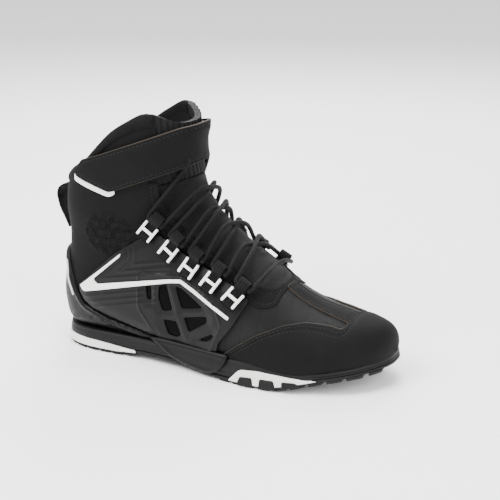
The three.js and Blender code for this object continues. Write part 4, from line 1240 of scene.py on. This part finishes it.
@dataclass
class Armour:
    """The moulded plates: side panels, heel counter, stripe and reflector."""

    shop: Workshop
    outside: float = 2.6
    panel: float = 1.5
    counter: float = 2.3
    stripe: float = 1.4
    pad_half_sizes: tuple[float, float] = (33.0, 25.0)
    pad_centre: tuple[float, float] = (72.0, 165.0)

    def build(self) -> None:
        """Build every plate."""
        windows = Zone.side(WINDOWS[0], 1.5)
        for outline in WINDOWS[1:]:
            windows = windows | Zone.side(outline, 1.5)
        outer_turns = (PI, 2 * PI)
        specs = [
            Spec("plate_outer", PANEL_ZONE - windows, self.outside, self.panel, ARMOUR, trim=ABOVE_SOLE,
                 stations=(5.5, 16.5), turns=outer_turns, cell=1.0, lip=0.7, relief=panel_relief,
                 replaces=("side_panel_outer",), slot="armour_tpu"),
            Spec("plate_inner", INNER_PANEL_ZONE, self.outside, self.panel, ARMOUR, trim=ABOVE_SOLE,
                 cell=1.4, stations=(5.5, 16.5), turns=(0, PI), lip=0.7, relief=inner_panel_relief,
                 replaces=("side_panel_inner",), slot="armour_tpu"),
            Spec("plate_stripe", Zone.side(CHEVRON, 1) & OUTER, 4.6, self.stripe, WHITE_TPU, cell=0.9,
                 stations=(6.5, 15.5), turns=outer_turns, lip=0.35, replaces=("chevron_stripe",),
                 slot="white_trim"),
            Spec("plate_counter", Zone.side(COUNTER), self.outside, self.counter, ARMOUR, trim=ABOVE_SOLE,
                 cell=1.3, stations=(8.6, 15.5), turns=(-2.2, 2.2), lip=0.8, relief=counter_relief,
                 replaces=("heel_counter",), slot="armour_tpu"),
            Spec("plate_reflector", Zone.side(REFLECTOR, 1) & OUTER, 4.1, 0.8, REFLECTIVE, cell=0.7,
                 stations=(11, 15.2), turns=outer_turns, lip=0.2, replaces=("heel_reflector",),
                 slot="reflective_film"),
            Spec("plate_flex_pad", self.oval() & INNER, 0.6, 0.5, GLOSS, trim=rim_below(COLLAR_BAND),
                 stations=(9, 20.4), turns=(0, PI), lip=0.6, relief=pad_relief, seams=(1.6,),
                 replaces=("flex_panel_inner",), slot="gloss_padding", fill=0.8),
        ]
        for spec in specs:
            self.shop.layer(spec)

    def oval(self) -> Zone:
        """The padded oval on the inner ankle, tilted like the strap."""
        ring = []
        for k in range(20):
            a, b = (r * f(k * PI / 10) for r, f in zip(self.pad_half_sizes, (math.cos, math.sin)))
            c, s = math.cos(STRAP_TILT), math.sin(STRAP_TILT)
            ring.append((self.pad_centre[0] + a * c - b * s, self.pad_centre[1] + a * s + b * c))
        return Zone.side(ring, 4)


@dataclass
class Strap:
    """The ankle strap: one band in two meshes."""

    shop: Workshop
    outside: float = 4.4
    thickness: float = 2.0
    hinge: tuple[float, float, float] = (0.0645281, 0.0361, 0.1827186)
    hinge_reach: float = 0.007

    def build(self) -> None:
        """Build the band, its end tab and the fastening tape."""
        front = Zone.strap(STRAP_FRONT, 0.1)
        inner = Zone.strap(STRAP_FIXED) | front
        outer = Zone.strap(STRAP_FREE) | front
        common = {"outside": self.outside, "thickness": self.thickness, "finish": NUBUCK, "cell": 1.3,
                  "stations": (10, 20.9), "relief": strap_rise, "seams": (2.8,), "body": "", "even": True}
        fixed = self.shop.layer(Spec("strap_band_inner", inner, trim=INNER, turns=(0, PI),
                                     replaces=("strap_anchor",), **common))
        free = self.shop.layer(Spec("strap_band_outer", outer, trim=OUTER, turns=(PI, 2 * PI),
                                    replaces=("strap_end", "strap_bridge"), **common))
        for obj, a, b, sign in ((fixed, "boot", "strap_bridge", 1),
                                (free, "strap_bridge", "strap_end", -1)):
            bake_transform(obj)
        tape = {"stations": (12, 20), "turns": (PI, 2 * PI), "cell": 1.2, "lip": 0.25}
        specs = [
            Spec("strap_pull_tab", Zone.strap(TAB, 1) & OUTER, 2.4, 1.0, WHITE_TPU, **tape,
                 replaces=("strap_tab",), slot="white_trim", body="strap_end"),
            Spec("strap_hook_tape", Zone.strap(HOOK, 1) & OUTER, 2.3, 0.8, HOOK_TAPE, **tape,
                 replaces=("hook_patch",), slot="hook_and_loop", body="strap_end"),
            Spec("strap_loop_tape", Zone.strap(HOOK_REST, 1) & OUTER, 1.3, 0.9, HOOK_TAPE, **tape,
                 trim=rim_below(COLLAR_BAND), replaces=("loop_patch",), slot="hook_and_loop"),
        ]
        for spec in specs:
            self.shop.layer(spec)


@dataclass(frozen=True)
class Seat:
    """Where one lace loop sits: its skin place and local axes."""

    station: float
    turn: float
    point: np.ndarray
    pull: np.ndarray
    across: np.ndarray
    normal: np.ndarray
    up: np.ndarray


@dataclass
class Lacing:
    """Webbing loops with their frames, and the lace with its end caps.

    Attributes:
        shop: the workshop.
        seat_height: height of a loop's foot over the surface.
        eye: radius of the webbing's bend round the lace.
        tape: thickness of the webbing.
        frame_reach: distance of a frame behind its loop's eye.
        frame_bars: place and size of each bar of a frame.
        over: heights of the strands that go down.
        under: heights of the strands that come back up.
        turn: heights of the lowest strand.
        tail: station, turn and height along each end.
        cap: diameter of the end caps.
    """

    shop: Workshop
    seat_height: float = 3.3
    eye: float = 4.3
    tape: float = 1.6
    frame_reach: float = 8.5
    frame_bars: tuple = (((0, 5.6, 0.2), (14.5, 2.3, 2.6)), ((0, -5.6, 0.2), (14.5, 2.3, 2.6)),
                         ((0, 0, 0.4), (2.6, 11, 2.0)))
    over: tuple = (6.4, 6.8, 6.4)
    under: tuple = (4.9, 2.9, 4.9)
    turn: tuple = (6, 4.6, 6)
    tail: tuple = ((14.6, 0.17, 2.6), (15.6, 0.14, 2.4), (16.5, 0.12, 2.3))
    cap: float = 4.1

    def build(self) -> None:
        """Build the loops and the lace."""
        outer, inner = (self.seats(side) for side in (-1, 1))
        for label, seats in (("outer", outer), ("inner", inner)):
            for i, seat in enumerate(seats, 1):
                self.loop(f"{label}_{i}", seat)
        self.lace(outer, inner)

    def seats(self, side: int) -> list[Seat]:
        """Find the loops' seats on one side.

        Args:
            side: +1 for the inner side, -1 for the outer side.

        Returns:
            The seats, from the top down.
        """
        last = self.shop.last
        places = [last.find(x, z, side) for x, z in LOOP_PLACES]
        points = [last.point(*p) for p in places]
        found = []
        for i, place in enumerate(places):
            normal = last.normal(*place)
            up = points[max(0, i - 1)] - points[min(4, i + 1)]
            up = up - normal * (up @ normal)
            up /= np.linalg.norm(up)
            pull = np.cross(up, normal)
            pull = -pull if pull[1] * side > 0 else pull
            foot = last.skin(*place, self.seat_height)
            found.append(Seat(*place, foot, pull, np.cross(normal, pull), normal, up))
        return found

    def loop(self, label: str, seat: Seat) -> None:
        """Build one folded webbing loop with its white frame.

        Args:
            label: the end of their names.
            seat: where they sit.
        """
        arc = np.linspace(-PI / 2, 0.9 * PI, 18)
        flat = [(-23.0, 0.9), (-15, 0.9), (-7, 0.9)]
        ring = [(self.eye * math.cos(a), LOOP_OUTER + self.eye * math.sin(a)) for a in arc]
        back = [(-6.5, 3.4), (-10, 2.6), (-22, 2.5)]
        profile = np.array([*flat, *ring, *back])
        ahead = np.gradient(profile, axis=0)
        path = seat.point + profile[:, :1] * seat.pull + profile[:, 1:] * seat.normal
        up = -ahead[:, 1:] * seat.pull + ahead[:, :1] * seat.normal
        self.shop.sweep(f"loop_webbing_{label}", path, up, LOOP_WIDTH, self.tape, WEBBING, "webbing",
                        (f"webbing_loop_{label}",), sides=16, square=7)
        axes = Matrix([seat.pull, seat.across, seat.normal]).transposed().to_4x4()
        centre = seat.point + seat.pull * (-LOOP_OUTER - self.frame_reach) + seat.normal * 3.6
        bm = bmesh.new()
        for place, size in self.frame_bars:
            bar(bm, Matrix.Translation(centre) @ axes @ Matrix.Translation(place), size, 0.7)
        self.shop.finish_object(f"loop_frame_{label}", bm, (WHITE_TPU,), "white_trim",
                                (f"lace_frame_{label}",), "boot")

    def lace(self, outer: list[Seat], inner: list[Seat]) -> None:
        """Run one lace through every eye, down and back up, crossed over the tongue.

        Args:
            outer: the outer side's seats.
            inner: the inner side's seats.
        """
        last, points = self.shop.last, []

        def eye(seat: Seat, ends: Sequence[float]) -> None:
            """Pass through one loop's eye."""
            centre = seat.point + seat.normal * LOOP_OUTER
            points.extend(centre + seat.up * (end * (LOOP_WIDTH / 2 + 2)) for end in ends)

        def strand(a: Seat, b: Seat, heights: Sequence[float], forward: float = 0.0) -> None:
            """Cross from one seat towards another."""
            for t, height in zip((0.3, 0.5, 0.7), heights):
                station = a.station + (b.station - a.station) * t - forward
                points.append(last.skin(station, a.turn + (b.turn - a.turn) * t, height))

        def tail(sign: float) -> list[np.ndarray]:
            """The loose end above the top loop."""
            return [last.skin(s, PI + sign * t * PI, h) for s, t, h in self.tail]

        through = (1, 0.66, 0, -0.66, -1)
        points += tail(0.9)[::-1]
        for row in range(5):
            here, there = (inner, outer) if row % 2 else (outer, inner)
            eye(here[row], through)
            if row < 4:
                strand(here[row], there[row + 1], self.over)
        strand(here[4], there[4], self.turn, 0.5)
        for row in range(4, -1, -1):
            there, here = (inner, outer) if row % 2 else (outer, inner)
            eye(here[row], through[::-1])
            if row:
                strand(here[row], there[row - 1], self.under)
        points += tail(-0.9)
        path = smooth_curve(np.array(points), 7)
        tangent = np.gradient(path, axis=0)
        up = np.cross(tangent, (0.3, 0.2, 1.0))
        across = 2 * LACE_RADIUS
        self.shop.sweep("lace_cord", path, up, across, across, BRAID, "lace_braid", ("lace",))
        for i, (end, before) in enumerate(((path[0], path[3]), (path[-1], path[-4])), 1):
            direction = (end - before) / np.linalg.norm(end - before)
            run = end + direction * np.array([-1, 0, 0.5, 1, 6, 12, 13.5, 14.2])[:, None]
            self.shop.sweep(f"lace_tip_{i}", run, np.tile((0.3, 0.9, 0.2), (8, 1)), self.cap, self.cap,
                            ACETATE, "aglet_plastic", (f"aglet_{i}",))


@dataclass
class PullLoop:
    """The finger loop at the back of the collar."""

    shop: Workshop
    width: float = 19.6
    thickness: float = 2.2

    def build(self) -> None:
        """Build the loop."""
        flat = smooth_curve(PULL_LOOP, 6)
        path = np.stack([flat[:, 0], np.zeros(len(flat)), flat[:, 1]], -1)
        ahead = np.gradient(path, axis=0)
        up = np.stack([-ahead[:, 2], ahead[:, 1], ahead[:, 0]], -1)
        self.shop.sweep("pull_loop_webbing", path, up, self.width, self.thickness, WEBBING, "webbing",
                        ("pull_loop",), sides=20, square=8)


@dataclass
class Sole:
    """Outsole with its tread, midsole, inserts and footbed."""

    shop: Workshop
    lug_height: float = 2.6
    lug_overlap: float = 0.4
    footbed: float = 6.0
    footbed_inset: float = 10.0

    def build(self) -> None:
        """Build the sole unit."""
        outline, web, top = self.outline(), self.lug_height - self.lug_overlap, OUTSOLE_TOP
        self.body("sole_outsole", outline, lambda x: line(GROUND, x) + web, lambda x: line(GROUND, x) + top,
                  0.0, self.outsole_wall, RUBBER, ("outsole",), "black_rubber")
        self.body("sole_midsole", outline, lambda x: line(GROUND, x) + top, lambda x: line(FEATHER, x),
                  0.5, self.midsole_wall, RUBBER, ("midsole",), "black_rubber")
        self.body("sole_footbed", outline, lambda x: line(FOOTBED_TOP, x) - self.footbed,
                  lambda x: line(FOOTBED_TOP, x), self.footbed_inset, lambda x, f: 0 * x, FOAM,
                  ("footbed",), "foam_footbed")
        self.tread()
        wall = self.shop.wall
        inserts = [("sole_insert_heel", HEEL_INSERT, (4, 88), "heel_insert_outer"),
                   ("sole_insert_front", FORE_INSERT, (174, 262), "forefoot_insert_outer")]
        for name, shape, reach, node in inserts:
            self.shop.layer(Spec(name, Zone.side(shape, 2), 0.5, 3.6, WHITE_RUBBER, stations=reach,
                                 turns=(0, 18), cell=0.9, lip=0.7, replaces=(node,),
                                 slot="white_rubber"), wall)
        self.shop.layer(Spec("sole_arch_plate", Zone.side(ARCH_LOBE, 5), 1.7, 3.0, ARMOUR,
                             stations=(92, 184), turns=(0, 26), cell=1.0, lip=1.2, relief=arch_relief,
                             slot="armour_tpu"), wall)
        for i, shape in enumerate(INSERT_BLOCKS, 1):
            self.shop.layer(Spec(f"sole_insert_block_{i}", Zone.side(shape, 1.5), 1.5, 4, RUBBER,
                                 stations=(184, 250), turns=(0, 14), cell=0.9, lip=0.6,
                                 slot="black_rubber"), wall)

    @staticmethod
    def outline() -> np.ndarray:
        """The sole's plan outline, closed, evenly spaced."""
        outer = np.stack([SOLE_PLAN[:, 0], -SOLE_PLAN[:, 1]], -1)
        inner = np.stack([SOLE_PLAN[1:-1, 0], SOLE_PLAN[1:-1, 2]], -1)[::-1]
        ring = np.vstack([outer, inner])
        curve = smooth_curve(np.vstack([ring[-3:], ring, ring[:3]]), 8)[24:-16]
        length = lengths(curve)
        at = np.linspace(0, length[-1], 361)[:-1]
        return np.stack([np.interp(at, length, curve[:, k]) for k in (0, 1)], -1)

    @staticmethod
    def outsole_wall(x: np.ndarray, f: np.ndarray) -> np.ndarray:
        """Inset of the outsole's edge."""
        return 0.5 * ridge(f - 1, 0.12)

    @staticmethod
    def midsole_wall(x: np.ndarray, f: np.ndarray) -> np.ndarray:
        """Inset of the midsole's edge: two grooves and a lean towards the upper."""
        return 1.6 * f ** 2 + 0.7 * ridge(f - 0.34, 0.045) + 0.5 * ridge(f - 0.82, 0.05)

    def body(self, name: str, outline: np.ndarray, low: Callable, high: Callable, inset: float,
             wall: Callable, finish: Finish, replaces: Sequence[str], slot: str) -> None:
        """A closed slab between two side-view lines.

        Args:
            name: the object's name.
            outline: its plan outline.
            low: height of its lower face at x.
            high: height of its upper face at x.
            inset: how far its edge lies inside the outline.
            wall: a further inset at x and at a share of the height.
            finish: what it is made of.
            replaces: the CAD nodes that it stands for.
            slot: the record's material slot.
        """
        shares = [0, 0.35, 0.7, 0.94, *[1.0] * 17, 0.94, 0.7, 0.35, 0]
        heights = [0] * 4 + list(np.linspace(0, 1, 17)) + [1] * 4
        bm = bmesh.new()
        bmesh.ops.create_grid(bm, x_segments=len(outline), y_segments=len(shares) - 1, size=1)
        layers = [bm.verts.layers.float.new(n) for n in ("u", "v")]
        co = np.array([v.co[:2] for v in bm.verts])
        i = np.unique(np.round(co[:, 0], 5), return_inverse=True)[1] % len(outline)
        j = np.unique(np.round(co[:, 1], 5), return_inverse=True)[1]
        edge = outline[i]
        ahead = np.roll(outline, -1, 0) - np.roll(outline, 1, 0)
        ahead = (ahead / np.linalg.norm(ahead, axis=1, keepdims=True))[i]
        inward = np.stack([-ahead[:, 1], ahead[:, 0]], -1)
        share, rise = np.array(shares)[j], np.array(heights)[j]
        middle = np.stack([np.clip(edge[:, 0], 40, 255), np.full(len(edge), 0.0)], -1)
        near = 1 - np.clip(np.minimum(rise, 1 - rise) * 8, 0, 1)
        corner = 0.9 * (1 - np.sqrt(np.clip(1 - near ** 2, 0, 1)))
        edge = edge + inward * (inset + wall(edge[:, 0], rise) + corner)[:, None]
        plan = middle + (edge - middle) * share[:, None]
        z = low(plan[:, 0]) * (1 - rise) + high(plan[:, 0]) * rise
        for v, (x, y), height, k in zip(bm.verts, plan, z, i):
            v.co = (x, y, height)
            v[layers[0]], v[layers[1]] = float(k * 2), float(height)
        bmesh.ops.remove_doubles(bm, verts=bm.verts, dist=0.01)
        bmesh.ops.recalc_face_normals(bm, faces=bm.faces)
        self.shop.finish_object(name, bm, (finish,), slot, replaces, "boot", 50)

    def tread(self) -> None:
        """Lugs across the outsole, between the grooves."""
        bm = bmesh.new()
        plan = smooth_curve(SOLE_PLAN)
        spans = [(a + 1.6, b - 1.6) for a, b in zip([4, *GROOVES], GROOVES) if b - a < 20]
        for x0, x1 in spans:
            for f0, f1 in LUG_ROWS:
                self.lug(bm, plan, x0, x1, f0, f1)
        self.shop.finish_object("sole_tread", bm, (RUBBER,), "black_rubber", (), "boot", 30)

    def lug(self, bm: bmesh.types.BMesh, plan: np.ndarray, x0: float, x1: float, f0: float,
            f1: float) -> None:
        """Add one tread block with bevelled edges.

        Args:
            bm: the mesh to add to.
            plan: the sole's plan stations.
            x0: its rear edge.
            x1: its front edge.
            f0: its outer edge, as a share of the sole's width.
            f1: its inner edge, as a share of the sole's width.
        """
        made = bmesh.ops.create_grid(bm, x_segments=3, y_segments=3, size=1)["verts"]
        faces = list({f for v in made for f in v.link_faces})
        grown = bmesh.ops.extrude_face_region(bm, geom=faces, use_keep_orig=True)["geom"]
        lower = {v for v in grown if isinstance(v, bmesh.types.BMVert)}
        for v in [*made, *lower]:
            x, f = x0 + (v.co.x + 1) / 2 * (x1 - x0), f0 + (v.co.y + 1) / 2 * (f1 - f0)
            outer, inner = -np.interp(x, plan[:, 0], plan[:, 1]), np.interp(x, plan[:, 0], plan[:, 2])
            shift = 5 * abs(f - 0.5) - 1.2
            height = float(line(GROUND, np.array(x))) + (0 if v in lower else self.lug_height)
            v.co = (x + shift, outer + 0.5 + (inner - outer - 1.0) * f, height)
        bmesh.ops.recalc_face_normals(bm, faces=bm.faces)
        rims = [e for v in lower for e in v.link_edges if e.calc_face_angle(0) > 0.7]
        bmesh.ops.bevel(bm, geom=list(set(rims)), offset=0.5, segments=1, profile=0.5, affect="EDGES",
                        material=-1)


@dataclass
class Studio:
    """Camera, floor and soft light."""

    target: Vector = field(default_factory=lambda: Vector((0.1267, 0.0, 0.0992)))
    direction: Vector = field(default_factory=lambda: Vector((0.4042, -0.8667, 0.2924)).normalized())
    aim: tuple[float, float, float] = (0.1, 0, 0.08)
    lens: float = 90
    sensor: float = 36
    view_width: float = 0.419
    lamps: tuple = (("key", (-0.5, -0.9, 1.3), 0.9, 42.0), ("fill", (1.2, -0.6, 0.7), 1.0, 18.0),
                    ("back", (-0.3, 1.1, 1.1), 0.8, 26.0), ("top", (0.1, 0.0, 1.6), 0.9, 22.0))

    def build(self) -> None:
        """Set up the whole stage."""
        self.camera()
        floor = self.floor()
        lights = [self.light(*lamp) for lamp in self.lamps]
        world = bpy.data.worlds.new("studio")
        world.use_nodes = True
        world.node_tree.nodes["Background"].inputs[0].default_value = linear("#ffffff")
        world.node_tree.nodes["Background"].inputs[1].default_value = 1.3
        bpy.context.scene.world = world

    def camera(self) -> None:
        """A long lens in front of the outer side, a little above."""
        data = bpy.data.cameras.new("camera")
        data.lens, data.sensor_width = self.lens, self.sensor
        camera = bpy.data.objects.new("camera", data)
        camera.location = self.target + self.direction * (self.view_width * self.lens / self.sensor)
        camera.rotation_mode = "QUATERNION"
        camera.rotation_quaternion = (-self.direction).to_track_quat("-Z", "Y")
        bpy.context.scene.collection.objects.link(camera)
        bpy.context.scene.camera = camera

    @staticmethod
    def floor() -> bpy.types.Object:
        """A plain pale floor."""
        bm = bmesh.new()
        bmesh.ops.create_grid(bm, x_segments=1, y_segments=1, size=15)
        mesh = bpy.data.meshes.new("floor")
        bm.to_mesh(mesh)
        bm.free()
        paint = bpy.data.materials.new("studio_floor_matte_paint")
        paint.use_nodes = True
        sockets = paint.node_tree.nodes["Principled BSDF"].inputs
        sockets["Base Color"].default_value, sockets["Roughness"].default_value = linear("#fbfbfb"), 0.9
        mesh.materials.append(paint)
        floor = bpy.data.objects.new("floor", mesh)
        bpy.context.scene.collection.objects.link(floor)
        return floor

    def light(self, name: str, place: tuple[float, float, float], size: float,
              power: float) -> bpy.types.Object:
        """Add a soft square lamp that points at the boot.

        Args:
            name: its name.
            place: where it hangs, in frame metres.
            size: its width.
            power: its power in watts.

        Returns:
            The lamp.
        """
        data = bpy.data.lights.new(name, "AREA")
        data.size, data.energy = size, power
        lamp = bpy.data.objects.new(name, data)
        lamp.location = place
        lamp.rotation_mode = "QUATERNION"
        lamp.rotation_quaternion = (Vector(self.aim) - Vector(place)).to_track_quat("-Z", "Y")
        bpy.context.scene.collection.objects.link(lamp)
        return lamp


def dress_hidden(shop: MaterialShop) -> None:
    """Give the CAD nodes that stay inside the boot their real materials."""
    for name, finish in HIDDEN_NODES.items():
        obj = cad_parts[name]
        obj.data.materials.clear()
        obj.data.materials.append(shop.get(finish))


def main() -> None:
    """Build the boot and its stage."""
    logging.basicConfig(level=logging.INFO, format="%(message)s")
    shop = Workshop()
    for part in (Upper(shop), Armour(shop), Sole(shop), Strap(shop), Lacing(shop), PullLoop(shop)):
        part.build()
    dress_hidden(shop.materials)
    Studio().build()


if __name__ == "__main__":
    main()
